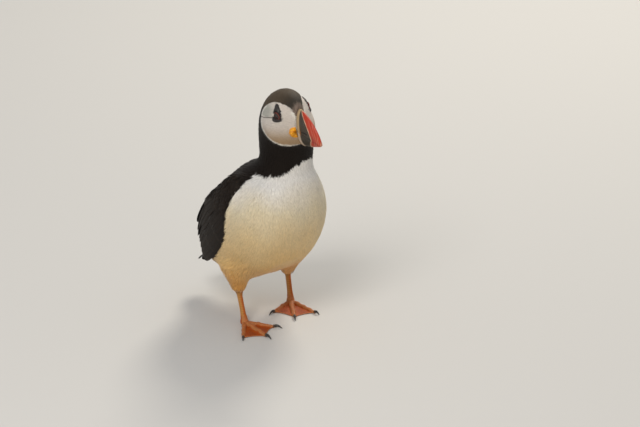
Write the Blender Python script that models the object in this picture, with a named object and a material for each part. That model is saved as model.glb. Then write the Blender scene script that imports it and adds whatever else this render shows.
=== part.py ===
"""Atlantic puffin (Fratercula arctica), standing: a still, life-size model.

The bird faces -Y, its left side is +X and the floor is z = 0.  Every length below is in
millimetres and every angle in degrees.  Points of the bird are written as (forward, left, up);
in_row() turns them into the scene's metres.  The trunk, neck and head are one loft, parted by
flat cuts.  Wings, thighs and tail are lofts of their own, trimmed to stand off the trunk by the
gap that all neighbours keep.
"""
import math

import bmesh
import bpy
import numpy as np
from mathutils import Matrix, Vector

MM = 0.001
GAP = 0.3  # clearance between neighbouring pieces
SIDES = ((1, "left"), (-1, "right"))

# ------------------------------------------------------------------ body
# The body's sections, from tail base to bill base.  The mid plane cuts each one from a ventral
# point to a dorsal point, both (forward, up).  Then come its half width, and how far up from
# the ventral point it is widest.
BODY_STATIONS = [
    ("tail base", (-65, 40), (-70, 49), 9.0, 0.50),
    ("undertail", (-55, 34), (-69, 60), 21.0, 0.55),
    ("vent", (-40, 31.5), (-66, 76), 32.0, 0.55),
    ("belly", (-20, 33), (-59, 95), 39.5, 0.52),
    ("keel", (2, 41.5), (-50, 111), 44.5, 0.50),
    ("breast", (21.0, 61), (-42, 124), 45.0, 0.47),
    ("crop", (32.5, 89), (-35.5, 130.5), 42.5, 0.46),
    ("shoulder", (33.2, 116), (-29.5, 135), 34.4, 0.46),
    ("neck base", (26.8, 136), (-13.5, 146), 23.0, 0.48),
    ("neck", (25.2, 150), (-16, 167), 22.0, 0.48),
    ("nape", (25.6, 158.5), (-15.5, 184), 21.9, 0.46),
    ("occiput", (28, 163), (-8.5, 196.5), 21.2, 0.43),
    ("crown", (29, 164), (6.5, 205.3), 18.0, 0.43),
    ("brow", (30.5, 164.3), (19.5, 206.8), 14.2, 0.43),
    ("forehead", (32.2, 164.5), (29, 203.5), 9.6, 0.42),
    ("bill base", (34.4, 164.7), (35.2, 198.6), 5.6, 0.44),
]
BODY_NODES = [  # node, first and last station, rings, points round each ring
    ("rump", "tail base", "vent", 7, 24),
    ("trunk", "vent", "neck base", 16, 32),
    ("neck", "neck base", "nape", 6, 28),
    ("head", "nape", "bill base", 14, 28),
]

# The head turns about this point: to the bird's right, slightly up, and over towards its right
# shoulder.  The turn grows from the first of two stations to the second.
NECK_PIVOT = (16.0, 0.0, 186.0)
HEAD_YAW, HEAD_PITCH, HEAD_ROLL = -12.0, -2.0, 7.7
TURN_FROM, TURN_TO = "shoulder", "occiput"

EYE = (21.2, 9.7, 190.4)
EYE_RADIUS = 6.0
ROSETTE = (33.4, 8.3, 177.3)  # the wrinkled skin at the corner of the gape
ROSETTE_SIZE = (3.4, 2.4, 4.2)

# ------------------------------------------------------------------ bill
CULMEN = [(35.4, 198.6), (45.4, 199.4), (63.4, 190.9), (67.1, 173.5)]
TOMIUM = [(35.6, 178.0), (44.0, 176.8), (57.0, 176.6), (66.3, 173.2)]
GONYS = [(34.2, 164.4), (40.4, 164.7), (54.4, 168.6), (65.2, 172.2)]
BILL_HALF_WIDTH = 5.4
BILL_TIP_HALF_WIDTH = 0.9
# A bill section runs from the ridge to the cutting edge.  Each row gives its place, s, then how
# far along the ridge and along the cutting edge it stands.
UPPER_SLANT = [(0, 0, 0), (0.10, 0.06, 0.085), (0.42, 0.15, 0.54), (0.50, 0.21, 0.60),
               (0.65, 0.40, 0.71), (0.80, 0.62, 0.83), (1, 1, 1)]
LOWER_SLANT = [(0, 0, 0), (0.42, 0.40, 0.54), (0.50, 0.47, 0.60), (1, 1, 1)]
BILL_RELIEF = [(0.46, 0.035, 0.35), (0.62, 0.02, -0.3), (0.75, 0.02, -0.3)]  # s, spread, height
BILL_NODES = [("cere", 0.0, 0.10, 4), ("plate", 0.10, 0.42, 7), ("tip", 0.42, 0.985, 10)]

# ------------------------------------------------------------------ wings and tail
# Centre (forward, left, up), width along the body's side, thickness, and how far the outer face
# turns up towards the back.
WING_STATIONS = [
    ("wrist", (-11, 32, 134.5), 17, 8.5, 0),
    ("forearm", (-13.5, 36.2, 125.3), 28, 11, 4),
    ("middle", (-17, 38.6, 113), 33.5, 11.5, 6),
    ("inner flights", (-25.5, 39.6, 99), 39, 12, 9),
    ("flank", (-38, 37.6, 81), 39.5, 12.8, 13),
    ("primaries", (-54, 30.5, 62), 31, 12, 20),
    ("rump", (-69, 20, 49), 20, 6.5, 28),
    ("tips", (-82, 11.5, 39), 9, 3.0, 34),
]
WING_LENGTH = 130.0
WING_SPLIT = 0.62  # share of its length at which the flight feathers' tips part from the wing
TAIL_BASE, TAIL_TIP = (-61, 0, 52), (-96, 0, 27)
TAIL_WIDTHS = (32, 35)
TAIL_THICKNESSES = (11, 1.8)

# ------------------------------------------------------------------ legs
TOE_BASE = {"left": (-22.5, 32.0, 0.0), "right": (-12.5, -25.5, 0.0)}  # the right foot is ahead
FOOT_TURN_IN = {"left": 34.0, "right": -6.0}
KNEE = {"left": (-17.0, 25.0, 54.0), "right": (-20.0, -26.5, 54.0)}
ANKLE_RISE = 28.0
ANKLE_BACK = {"left": 4.0, "right": 7.0}
THIGH_RADII = (19.0, 5.2)
TARSUS_HALF = (2.7, 2.0)  # front to back, and across
KNUCKLE_TOP = 6.0
TOES = [  # name, angle outwards, length, radius at base, claw
    ("inner", -38.0, 26.0, 2.0, 8.0),
    ("middle", 0.0, 33.0, 2.3, 8.0),
    ("outer", 35.0, 31.0, 2.0, 6.5),
]
WEB_THICKNESS = 1.1
WEB_SAG = 1.4  # how far the web's front edge curves back between two toes
FLOOR_CUT = 0.25  # how much of each toe's underside is flattened

COLOURS = {  # base colour, roughness
    "black_plumage": ((0.012, 0.011, 0.011), 0.62),
    "white_plumage": ((0.80, 0.79, 0.76), 0.75),
    "face_plumage": ((0.62, 0.61, 0.60), 0.72),
    "bill_slate": ((0.085, 0.095, 0.105), 0.42),
    "bill_red": ((0.72, 0.11, 0.035), 0.38),
    "bill_cream": ((0.72, 0.62, 0.42), 0.50),
    "rosette_yellow": ((0.86, 0.42, 0.03), 0.50),
    "leg_orange": ((0.78, 0.17, 0.03), 0.45),
    "claw_black": ((0.015, 0.013, 0.012), 0.35),
    "eye_dark": ((0.02, 0.012, 0.008), 0.08),
}


# ------------------------------------------------------------------ small tools
def in_row(points):
    """(forward, left, up) in millimetres as the scene's x, y, z in metres."""
    p = np.atleast_2d(np.asarray(points, float))
    return np.column_stack([p[:, 1], -p[:, 0], p[:, 2]]) * MM


def unit(vector):
    v = np.asarray(vector, float)
    return v / np.linalg.norm(v)


def smooth_rows(rows, places):
    """The rows of a table read at these places, 0 to 1 along it, on a smooth curve."""
    rows = np.asarray(rows, float)
    steps = np.linalg.norm(np.diff(rows, axis=0), axis=1)
    knots = np.concatenate([[0], np.cumsum(steps)])
    slopes = np.gradient(rows, knots, axis=0)
    at = np.clip(np.asarray(places, float), 0, 1) * knots[-1]
    i = np.clip(np.searchsorted(knots, at, side="right") - 1, 0, len(rows) - 2)
    width = (knots[i + 1] - knots[i])[:, None]
    t = ((at - knots[i]) / width[:, 0])[:, None]
    return (
        (2 * t**3 - 3 * t**2 + 1) * rows[i]
        + (t**3 - 2 * t**2 + t) * width * slopes[i]
        + (3 * t**2 - 2 * t**3) * rows[i + 1]
        + (t**3 - t**2) * width * slopes[i + 1]
    )


def station_places(rows):
    rows = np.asarray(rows, float)
    steps = np.linalg.norm(np.diff(rows, axis=0), axis=1)
    return np.concatenate([[0], np.cumsum(steps)]) / steps.sum()


def bezier(points, t):
    a, b, c, d = (np.asarray(p, float) for p in points)
    t = np.asarray(t, float)[..., None]
    return (1 - t) ** 3 * a + 3 * (1 - t) ** 2 * t * b + 3 * (1 - t) * t**2 * c + t**3 * d


def turned(points, weight=1.0):
    """Points of the head or neck after the head's turn, or a share of it."""
    yaw, pitch, roll = (
        math.radians(weight * a) for a in (HEAD_YAW, HEAD_PITCH, HEAD_ROLL)
    )
    turn = (
        Matrix.Rotation(yaw, 3, "Z") @ Matrix.Rotation(pitch, 3, "Y") @ Matrix.Rotation(roll, 3, "X")
    )
    pivot = np.asarray(NECK_PIVOT)
    return (np.atleast_2d(points) - pivot) @ np.array(turn).T + pivot


def add_object(name, points, faces, slot, origin=(0, 0, 0)):
    """A mesh object from bird-frame points, with its own origin."""
    mesh = bpy.data.meshes.new(name)
    start = in_row(origin)[0]
    mesh.from_pydata((in_row(points) - start).tolist(), [], [list(f) for f in faces])
    obj = bpy.data.objects.new(name, mesh)
    obj.location = start
    bpy.context.scene.collection.objects.link(obj)
    face_outwards(mesh)
    mesh.materials.append(bpy.data.materials[slot])
    mesh.shade_smooth()
    mesh.set_sharp_from_angle(angle=math.radians(50))
    return obj


def face_outwards(mesh):
    bm = bmesh.new()
    bm.from_mesh(mesh)
    bmesh.ops.recalc_face_normals(bm, faces=bm.faces)
    if bm.calc_volume(signed=True) < 0:
        bmesh.ops.reverse_faces(bm, faces=bm.faces)
    bm.to_mesh(mesh)
    bm.free()


def tube(rings):
    """(points, faces) of the closed tube through these rings, with a flat cap at each end."""
    count, around = len(rings), len(rings[0])
    faces = []
    for r in range(count - 1):
        for j in range(around):
            k = (j + 1) % around
            faces.append((r * around + j, r * around + k, (r + 1) * around + k, (r + 1) * around + j))
    faces.append(tuple(range(around))[::-1])
    faces.append(tuple((count - 1) * around + j for j in range(around)))
    return np.concatenate(rings), faces


def ellipse_ring(centre, across, along, half_across, half_along, around, power=1.0):
    a = np.linspace(0, 2 * math.pi, around, endpoint=False)
    c, s = np.cos(a), np.sin(a)
    x = np.sign(c) * np.abs(c) ** power * half_across
    y = np.sign(s) * np.abs(s) ** power * half_along
    return np.asarray(centre) + np.outer(x, across) + np.outer(y, along)


def combine(target, others, operation):
    """Applies a Boolean of the target with each helper object, and removes the helpers."""
    for other in others:
        modifier = target.modifiers.new("cut", "BOOLEAN")
        modifier.operation = operation
        modifier.solver = "EXACT"
        modifier.object = other
        bpy.context.view_layer.update()
        graph = bpy.context.evaluated_depsgraph_get()
        made = bpy.data.meshes.new_from_object(target.evaluated_get(graph))
        target.modifiers.clear()
        target.data = made
        bpy.data.objects.remove(other)
    target.data.shade_smooth()
    target.data.set_sharp_from_angle(angle=math.radians(50))
    return target


def make_materials():
    for name, (colour, roughness) in COLOURS.items():
        material = bpy.data.materials.new(name)
        material.use_nodes = True
        shader = material.node_tree.nodes["Principled BSDF"]
        shader.inputs["Base Color"].default_value = (*colour, 1)
        shader.inputs["Roughness"].default_value = roughness
        shader.inputs["Metallic"].default_value = 0


# ------------------------------------------------------------------ body, neck and head
BODY_ROWS = [(*ventral, *dorsal, half, widest) for _, ventral, dorsal, half, widest in BODY_STATIONS]
BODY_AT = dict(zip([s[0] for s in BODY_STATIONS], station_places(BODY_ROWS)))


def body_ring(place, around, inwards=0.0):
    """A section of the body loft, moved along its own normal by `inwards` towards the head."""
    vf, vu, df, du, half, widest = smooth_rows(BODY_ROWS, [place])[0]
    angle = np.linspace(0, 2 * math.pi, around, endpoint=False)
    up = ((1 + np.cos(angle)) / 2) ** (math.log(widest) / math.log(0.5))
    ventral, dorsal = np.array([vf, 0, vu]), np.array([df, 0, du])
    ring = ventral + np.outer(up, dorsal - ventral)
    ring[:, 1] = half * np.sign(np.sin(angle)) * np.abs(np.sin(angle)) ** 0.94
    towards_head = unit(np.cross([0, 1, 0], dorsal - ventral))
    if towards_head @ np.array([0.5, 0, 1]) < 0:
        towards_head = -towards_head
    ring = ring + inwards * towards_head
    lo, hi = BODY_AT[TURN_FROM], BODY_AT[TURN_TO]
    share = np.clip((place - lo) / (hi - lo), 0, 1)
    return turned(ring, share * share * (3 - 2 * share))


def body_part(name, first, last, rings, around, slot):
    places = np.linspace(BODY_AT[first], BODY_AT[last], rings)
    made = [body_ring(p, around) for p in places]
    if first != BODY_STATIONS[0][0]:
        made[0] = body_ring(places[0], around, GAP / 2)
    if last != BODY_STATIONS[-1][0]:
        made[-1] = body_ring(places[-1], around, -GAP / 2)
    return add_object(name, *tube(made), slot)


def clearance():
    """The whole body loft, grown by the gap: what the wings, thighs and tail are trimmed by."""
    rings = [body_ring(p, 32) for p in np.linspace(0, 1, 34)]
    obj = add_object("clearance", *tube(rings), "white_plumage")
    for v in obj.data.vertices:
        v.co += v.normal * (GAP + 0.1) * MM
    return obj


def grown_copy(obj):
    """A helper copy of a piece, grown by the gap, to trim its neighbour by."""
    copy = bpy.data.objects.new("grown", obj.data.copy())
    bpy.context.scene.collection.objects.link(copy)
    copy.location = obj.location
    for v in copy.data.vertices:
        v.co += v.normal * GAP * MM
    return copy


def ball(name, centre, radii, slot, rings=8, around=13, grow=0.0, turn=True):
    """An ellipsoid with its poles to the bird's left and right."""
    centre, radii = np.asarray(centre, float), np.asarray(radii, float) + grow
    levels = np.linspace(0.06, 0.94, rings) * math.pi
    made = [
        ellipse_ring(centre + [0, radii[1] * math.cos(a), 0], (1, 0, 0), (0, 0, 1),
                     radii[0] * math.sin(a), radii[2] * math.sin(a), around)
        for a in levels
    ]
    points, faces = tube([turned(r) if turn else r for r in made])
    middle = turned([centre])[0] if turn else centre
    return add_object(name, points, faces, slot, middle)


def mirrored(point, side):
    return np.array([point[0], point[1] * side, point[2]], float)


def make_body():
    slots = {"rump": "black_plumage", "trunk": "white_plumage", "neck": "black_plumage",
             "head": "face_plumage"}
    parts = {n: body_part(n, a, b, r, k, slots[n]) for n, a, b, r, k in BODY_NODES}
    for side, word in SIDES:
        eye, rosette = mirrored(EYE, side), mirrored(ROSETTE, side)
        combine(parts["head"], [
            ball("socket", eye, (EYE_RADIUS,) * 3, "eye_dark", grow=GAP),
            ball("recess", rosette, ROSETTE_SIZE, "eye_dark", grow=GAP),
        ], "DIFFERENCE")
        ball(f"eye_{word}", eye, (EYE_RADIUS,) * 3, "eye_dark")
        ball(f"gape_rosette_{word}", rosette, ROSETTE_SIZE, "rosette_yellow", rings=7, around=12)


# ------------------------------------------------------------------ bill
def bill_ring(place, ridge, edge, slant, inwards=0.0, around=9):
    """A section of one mandible from its ridge to its cutting edge, and the flat between."""
    s, on_ridge, on_edge = zip(*slant)
    top = bezier(ridge, np.interp(place, s, on_ridge))
    low = bezier(edge, np.interp(place, s, on_edge))
    half = BILL_TIP_HALF_WIDTH + (BILL_HALF_WIDTH - BILL_TIP_HALF_WIDTH) * (1 - place) ** 0.85
    half += sum(h * math.exp(-(((place - c) / w) ** 2)) for c, w, h in BILL_RELIEF)
    t = (1 - np.cos(np.linspace(0, math.pi, around))) / 2
    width = half * (1 - (1 - t) ** 2.4) ** 0.62
    line = np.array([top[0], 0, top[1]]) + np.outer(t, [low[0] - top[0], 0, low[1] - top[1]])
    right, left = line - np.outer(width, [0, 1, 0]), line + np.outer(width, [0, 1, 0])
    ring = np.concatenate([right, left[:0:-1]])
    along = unit(np.cross([0, 1, 0], [low[0] - top[0], 0, low[1] - top[1]]))
    along = along if along[0] > 0 else -along
    return turned(ring + along * inwards)


def make_bill():
    lower_edge = [(f, u - GAP) for f, u in TOMIUM[:3]] + [(GONYS[3][0], GONYS[3][1] + 0.8)]
    for word, ridge, edge, slant in (("upper", CULMEN, TOMIUM, UPPER_SLANT),
                                     ("lower", GONYS, lower_edge, LOWER_SLANT)):
        for name, first, last, count in BILL_NODES:
            if word == "lower" and name == "cere":
                continue
            first = 0.0 if word == "lower" and name == "plate" else first
            places = np.linspace(first, last, count)
            rings = [bill_ring(p, ridge, edge, slant) for p in places]
            rings[0] = bill_ring(places[0], ridge, edge, slant, GAP if first == 0 else GAP / 2)
            if last < 0.9:
                rings[-1] = bill_ring(places[-1], ridge, edge, slant, -GAP / 2)
            slot = {"cere": "bill_cream", "plate": "bill_slate", "tip": "bill_red"}[name]
            add_object(f"bill_{word}_{name}", *tube(rings), slot)


# ------------------------------------------------------------------ wings and tail
def wing_ring(row, tangent, side, around=14):
    f, out, up, width, thick, lift = row
    lift = math.radians(lift)
    dorsal = unit(np.cross([0, 1, 0], tangent))
    dorsal = dorsal if dorsal[2] > 0 else -dorsal
    normal = np.cos(lift) * np.array([0, 1.0, 0]) + np.sin(lift) * dorsal
    across = unit(np.cross(tangent, normal))
    ring = ellipse_ring((f, out, up), across, normal, width / 2, thick / 2, around, 0.9)
    ring[:, 1] *= side
    return ring


def wing_part(name, first, last, count, side):
    rows = [(*centre, width, thick, lift) for _, centre, width, thick, lift in WING_STATIONS]
    places = np.linspace(first, last, count)
    found = smooth_rows(rows, places)
    ahead = smooth_rows(rows, np.clip(places + 0.01, 0, 1))
    behind = smooth_rows(rows, np.clip(places - 0.01, 0, 1))
    rings = [
        wing_ring(row, unit((a - b)[:3] * (1, 0, 1)), side)
        for row, a, b in zip(found, ahead, behind)
    ]
    return add_object(name, *tube(rings), "black_plumage")


def make_wing(word, side):
    half = GAP / 2 / WING_LENGTH
    combine(wing_part(f"wing_{word}", 0, WING_SPLIT - half, 13, side), [clearance()], "DIFFERENCE")
    tip = wing_part(f"primaries_{word}", WING_SPLIT + half, 1, 9, side)
    return combine(tip, [clearance()], "DIFFERENCE")


def make_tail(primaries):
    base, tip = np.asarray(TAIL_BASE, float), np.asarray(TAIL_TIP, float)
    along = unit(tip - base)
    normal = unit(np.cross(along, [0, 1, 0]))
    rings = []
    for t in np.linspace(0, 1, 7):
        width = TAIL_WIDTHS[0] + (TAIL_WIDTHS[1] - TAIL_WIDTHS[0]) * t
        width *= math.sqrt(1 - 0.75 * max(0, t - 0.7) ** 2 / 0.09)
        thick = TAIL_THICKNESSES[1] + (TAIL_THICKNESSES[0] - TAIL_THICKNESSES[1]) * (1 - t) ** 1.5
        centre = base + (tip - base) * t
        rings.append(ellipse_ring(centre, (0, 1, 0), normal, width / 2, thick / 2, 14, 0.8))
    tail = add_object("tail", *tube(rings), "black_plumage")
    combine(tail, [clearance()] + [grown_copy(p) for p in primaries], "DIFFERENCE")


# ------------------------------------------------------------------ legs and feet
def make_leg(word, side):
    base = np.asarray(TOE_BASE[word], float)
    ankle = base + [-ANKLE_BACK[word], 0, ANKLE_RISE]
    knee = np.asarray(KNEE[word], float)
    rings = []
    for t in np.linspace(0, 1, 7):
        centre = knee + (ankle - knee) * t
        radius = THIGH_RADII[1] + (THIGH_RADII[0] - THIGH_RADII[1]) * (1 - t) ** 1.3
        across = unit(np.cross(ankle - knee, [0, 1, 0]))
        rings.append(ellipse_ring(centre, across, unit(np.cross(ankle - knee, across)),
                                  radius, radius * 0.9, 16))
    thigh = add_object(f"thigh_{word}", *tube(rings), "white_plumage", ankle)
    combine(thigh, [clearance()], "DIFFERENCE")
    make_tarsus(word, base, ankle, thigh)
    make_foot(word, side, base)


def make_tarsus(word, base, ankle, thigh):
    end = base + [0, 0, KNUCKLE_TOP + GAP]
    rings = []
    for t in np.linspace(0, 1, 8):
        centre = ankle + (end - ankle) * t
        knob = 1 + 0.45 * math.exp(-((t / 0.14) ** 2)) + 0.2 * math.exp(-(((t - 1) / 0.12) ** 2))
        rings.append(ellipse_ring(centre, (1, 0, 0), (0, 1, 0),
                                  TARSUS_HALF[0] * knob, TARSUS_HALF[1] * knob, 10))
    tarsus = add_object(f"tarsus_{word}", *tube(rings), "leg_orange", base)
    combine(tarsus, [grown_copy(thigh)], "DIFFERENCE")


def toe_direction(angle, side):
    a = math.radians(angle)
    return np.array([math.cos(a), math.sin(a) * side, 0])


def toe_rings(direction, first, last, radius, count=8):
    """Rings along a toe: thicker at its two joints, and low enough to be flattened beneath."""
    across = np.cross([0, 0, 1], direction)
    rings = []
    for t in np.linspace(0, 1, count):
        r = radius * (1 - 0.32 * t) * (1 + 0.12 * math.cos(2 * math.pi * 2.5 * t))
        centre = direction * (first + (last - first) * t) + [0, 0, r - FLOOR_CUT]
        rings.append(ellipse_ring(centre, across, (0, 0, 1), r, r, 9))
    return rings


def web_outline(side):
    """The web's outline, from the inner toe's tip by the middle one's to the outer one's."""
    tips = [toe_direction(a, side) * (n * 0.97) for _, a, n, _, _ in TOES]
    outline = [np.array([-1.5, 0, 0])]
    for start, end in zip(tips, tips[1:]):
        back = -unit((start + end) / 2)
        for t in np.linspace(0, 1, 6, endpoint=False):
            outline.append(start + (end - start) * t + back * WEB_SAG * 4 * t * (1 - t))
    outline.append(tips[-1])
    return outline


def make_foot(word, side, base):
    outline = web_outline(side)
    n = len(outline)
    points = [p + [0, 0, FLOOR_CUT] for p in outline]
    points += [p + [0, 0, FLOOR_CUT + WEB_THICKNESS] for p in outline]
    faces = [tuple(range(n))[::-1], tuple(range(n, 2 * n))]
    faces += [(i, (i + 1) % n, n + (i + 1) % n, n + i) for i in range(n)]
    foot = add_object(f"foot_{word}", points, faces, "leg_orange")
    toes = [
        add_object("toe", *tube(toe_rings(toe_direction(a, side), -1.0, length, r)), "leg_orange")
        for _, a, length, r, _ in TOES
    ]
    knuckle = [ellipse_ring((x, 0, z), (1, 0, 0), (0, 1, 0), 3.6 * k, 3.4 * k, 11)
               for x, z, k in ((0.4, 0, 0.8), (0.2, 2, 1.0), (0, 4.4, 0.9), (0, KNUCKLE_TOP, 0.72))]
    floor = add_object("floor", *tube([
        ellipse_ring((10, 0, z), (1, 0, 0), (0, 1, 0), 60, 60, 8) for z in (-10, 0)
    ]), "leg_orange")
    combine(foot, toes + [add_object("knuckle", *tube(knuckle), "leg_orange")], "UNION")
    combine(foot, [floor], "DIFFERENCE")
    pieces = [foot] + [make_claw(word, side, *toe) for toe in TOES]
    turn = -FOOT_TURN_IN[word] * side
    for piece in pieces:
        piece.location = Vector(in_row(base)[0])
        piece.rotation_euler.z = math.radians(turn)


def make_claw(word, side, name, angle, length, radius, claw):
    direction = toe_direction(angle, side)
    across = np.cross([0, 0, 1], direction)
    base_radius = radius * 0.62
    rings = []
    for t in np.linspace(0, 1, 6):
        bend = 0.9 * t
        ahead = claw * math.sin(bend) / math.sin(0.9)
        height = radius * 0.62 + 1.3 * math.sin(math.pi * min(1, t * 1.15)) - 0.55 * t
        r = base_radius * (1 - t) ** 0.8 + 0.22
        centre = direction * (length + GAP + ahead) + [0, 0, max(height, r + 0.15)]
        rings.append(ellipse_ring(centre, across, (0, 0, 1), r, r, 7))
    return add_object(f"claw_{word}_{name}", *tube(rings), "claw_black")


# ------------------------------------------------------------------ the whole bird
def centre_on_origin():
    """Hangs every piece on one empty, moved so that the bird stands centred on the origin."""
    bpy.context.view_layer.update()
    pieces = [o for o in bpy.context.scene.objects if o.type == "MESH"]
    corners = np.array([o.matrix_world @ v.co for o in pieces for v in o.data.vertices])
    low, high = corners.min(0), corners.max(0)
    bird = bpy.data.objects.new("puffin", None)
    bpy.context.scene.collection.objects.link(bird)
    for piece in pieces:
        piece.parent = bird
    bird.location = (-(low[0] + high[0]) / 2, -(low[1] + high[1]) / 2, -low[2])


def main():
    for obj in list(bpy.data.objects):
        bpy.data.objects.remove(obj)
    make_materials()
    make_body()
    make_bill()
    make_tail([make_wing(word, side) for side, word in SIDES])
    for side, word in SIDES:
        make_leg(word, side)
    centre_on_origin()


main()
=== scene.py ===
"""The looks of the standing Atlantic puffin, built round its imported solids.

One skin takes the place of the flesh solids and lies inside them by the depth of the coat.
Tufts and vanes of solid mesh cover it, along the lie of the plumage.  Flight feathers, bill,
eyes, gape, legs and claws are pieces of their own.  Points of the bird are (forward, left, up)
in millimetres, and in_row() turns them into the row frame's metres.  A straight point is
where it would be with the head unturned.
"""

import math

import bmesh
import bpy
import numpy as np
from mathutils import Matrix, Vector
from mathutils.bvhtree import BVHTree


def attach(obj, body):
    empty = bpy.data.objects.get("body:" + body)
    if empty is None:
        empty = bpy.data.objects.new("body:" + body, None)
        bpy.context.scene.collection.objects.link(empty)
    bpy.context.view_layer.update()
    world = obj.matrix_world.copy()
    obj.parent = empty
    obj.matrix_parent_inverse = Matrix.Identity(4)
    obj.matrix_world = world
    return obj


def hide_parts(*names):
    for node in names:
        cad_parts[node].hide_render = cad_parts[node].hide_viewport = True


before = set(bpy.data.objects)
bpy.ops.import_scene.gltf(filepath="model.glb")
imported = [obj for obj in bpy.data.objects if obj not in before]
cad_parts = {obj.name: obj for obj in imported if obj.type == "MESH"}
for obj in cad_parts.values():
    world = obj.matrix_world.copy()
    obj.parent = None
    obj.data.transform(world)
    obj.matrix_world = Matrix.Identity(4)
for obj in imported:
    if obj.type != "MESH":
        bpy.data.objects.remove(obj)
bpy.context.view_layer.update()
RNG = np.random.default_rng(7)
MM = 0.001
SIDES = ((1, "left"), (-1, "right"))

# ------------------------------------------------------------------ the bird's measures
# The solids' own stations: ventral and dorsal points (forward, up) of the body's sections in its
# mid plane.  The head's turn begins at the shoulder and is full from the occiput on.
BODY_STATIONS = [
    (-65, 40, -70, 49), (-55, 34, -69, 60), (-40, 31.5, -66, 76), (-20, 33, -59, 95),
    (2, 41.5, -50, 111), (21, 61, -42, 124), (32.5, 89, -35.5, 130.5), (33.2, 116, -29.5, 135),
    (26.8, 136, -13.5, 146), (25.2, 150, -16, 167), (25.6, 158.5, -15.5, 184),
    (28, 163, -8.5, 196.5), (29, 164, 6.5, 205.3), (30.5, 164.3, 19.5, 206.8),
    (32.2, 164.5, 29, 203.5), (34.4, 164.7, 35.2, 198.6),
]
SHOULDER, OCCIPUT = 7, 11
NECK_PIVOT = np.array((16.0, 0.0, 186.0))
HEAD_TURN = (-12.0, -2.0, 7.7)  # yaw, pitch, roll
EYE = (21.2, 9.7, 190.4)
WING_STATIONS = [  # centre, width, thickness, turn
    (-11, 32, 134.5, 17, 8.5, 0), (-13.5, 36.2, 125.3, 28, 11, 4), (-17, 38.6, 113, 33.5, 11.5, 6),
    (-25.5, 39.6, 99, 39, 12, 9), (-38, 37.6, 81, 39.5, 12.8, 13), (-54, 30.5, 62, 31, 12, 20),
    (-69, 20, 49, 20, 6.5, 28), (-82, 11.5, 39, 9, 3, 34),
]
TAIL_BASE, TAIL_TIP = np.array((-61.0, 0.0, 52.0)), np.array((-96.0, 0.0, 27.0))
# The bill's ridge, its edge and its keel, as curves (forward, up).  The ridge runs a little lower
# than the solids' own.
CULMEN = [(35.4, 196.2), (44.4, 196.0), (61.4, 190.0), (66.9, 173.5)]
TOMIUM = [(35.6, 178.0), (44.0, 176.8), (57.0, 176.6), (66.3, 173.2)]
GONYS = [(34.2, 164.4), (40.4, 164.7), (54.4, 168.6), (65.2, 172.2)]
BILL_HALF_WIDTH, BILL_TIP_HALF_WIDTH = 4.9, 0.9
# For places along the bill: where its ring meets the ridge, where it meets the edge, and how far
# it bows forward between them.
UPPER_SLANT = [
    (0, 0, 0, 0), (0.10, 0.105, 0.110, 0.5), (0.42, 0.137, 0.665, 2.4), (0.48, 0.165, 0.705, 2.2),
    (0.65, 0.40, 0.80, 1.4), (0.80, 0.62, 0.88, 0.7), (1, 1, 1, 0),
]
LOWER_SLANT = [
    (0, 0, 0, 0), (0.10, 0.20, 0.10, 0), (0.42, 0.56, 0.655, 0), (0.50, 0.61, 0.70, 0),
    (1, 1, 1, 0),
]


# ------------------------------------------------------------------ small tools
def in_row(points):
    """(forward, left, up) in millimetres as the row frame's x, y, z in metres."""
    p = np.atleast_2d(np.asarray(points, float))
    return np.column_stack([p[:, 1], -p[:, 0], p[:, 2]]) * MM + ORIGIN


def in_bird(points):
    """The row frame's metres as (forward, left, up) in millimetres."""
    p = (np.atleast_2d(np.asarray(points, float)) - ORIGIN) / MM
    return np.column_stack([-p[:, 1], p[:, 0], p[:, 2]])


def normalised(vectors):
    v = np.asarray(vectors, float)
    return v / np.maximum(np.linalg.norm(v, axis=-1, keepdims=True), 1e-9)


def smoothstep(x, low, high):
    t = np.clip((np.asarray(x, float) - low) / (high - low), 0, 1)
    return t * t * (3 - 2 * t)


def mixed(a, b, share):
    """a turning into b, with one share for each row."""
    share = np.asarray(share, float)[:, None]
    return np.asarray(a, float) * (1 - share) + np.asarray(b, float) * share


def bezier(points, t):
    a, b, c, d = (np.asarray(p, float) for p in points)
    t = np.asarray(t, float)[..., None]
    return (1 - t) ** 3 * a + 3 * (1 - t) ** 2 * t * b + 3 * (1 - t) * t**2 * c + t**3 * d


def hermite(t):
    """Weights of a smooth curve's start, its slope there, its end, and its slope there."""
    return 2 * t**3 - 3 * t**2 + 1, t**3 - 2 * t**2 + t, 3 * t**2 - 2 * t**3, t**3 - t**2


def smooth_rows(rows, places):
    """The rows of a table read at these places, 0 to 1 along it, on a smooth curve."""
    rows = np.asarray(rows, float)
    knots = np.concatenate([[0], np.cumsum(np.linalg.norm(np.diff(rows, axis=0), axis=1))])
    slopes = np.gradient(rows, knots, axis=0)
    at = np.clip(np.asarray(places, float), 0, 1) * knots[-1]
    i = np.clip(np.searchsorted(knots, at, side="right") - 1, 0, len(rows) - 2)
    width = (knots[i + 1] - knots[i])[:, None]
    start, ahead, end, behind = hermite(((at - knots[i]) / width[:, 0])[:, None])
    return (start * rows[i] + ahead * width * slopes[i]
            + end * rows[i + 1] + behind * width * slopes[i + 1])


def flattened(vectors, normals):
    """Vectors without their share along the normals, at unit length."""
    return normalised(vectors - normals * np.sum(vectors * normals, axis=1, keepdims=True))


def circle(count):
    """Angles evenly round a full turn."""
    return np.linspace(0, 2 * math.pi, count, endpoint=False)


def swung(angles, one, other):
    """Directions at these angles from one axis towards another."""
    a = np.asarray(angles)[..., None]
    return np.cos(a) * one + np.sin(a) * other


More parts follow.
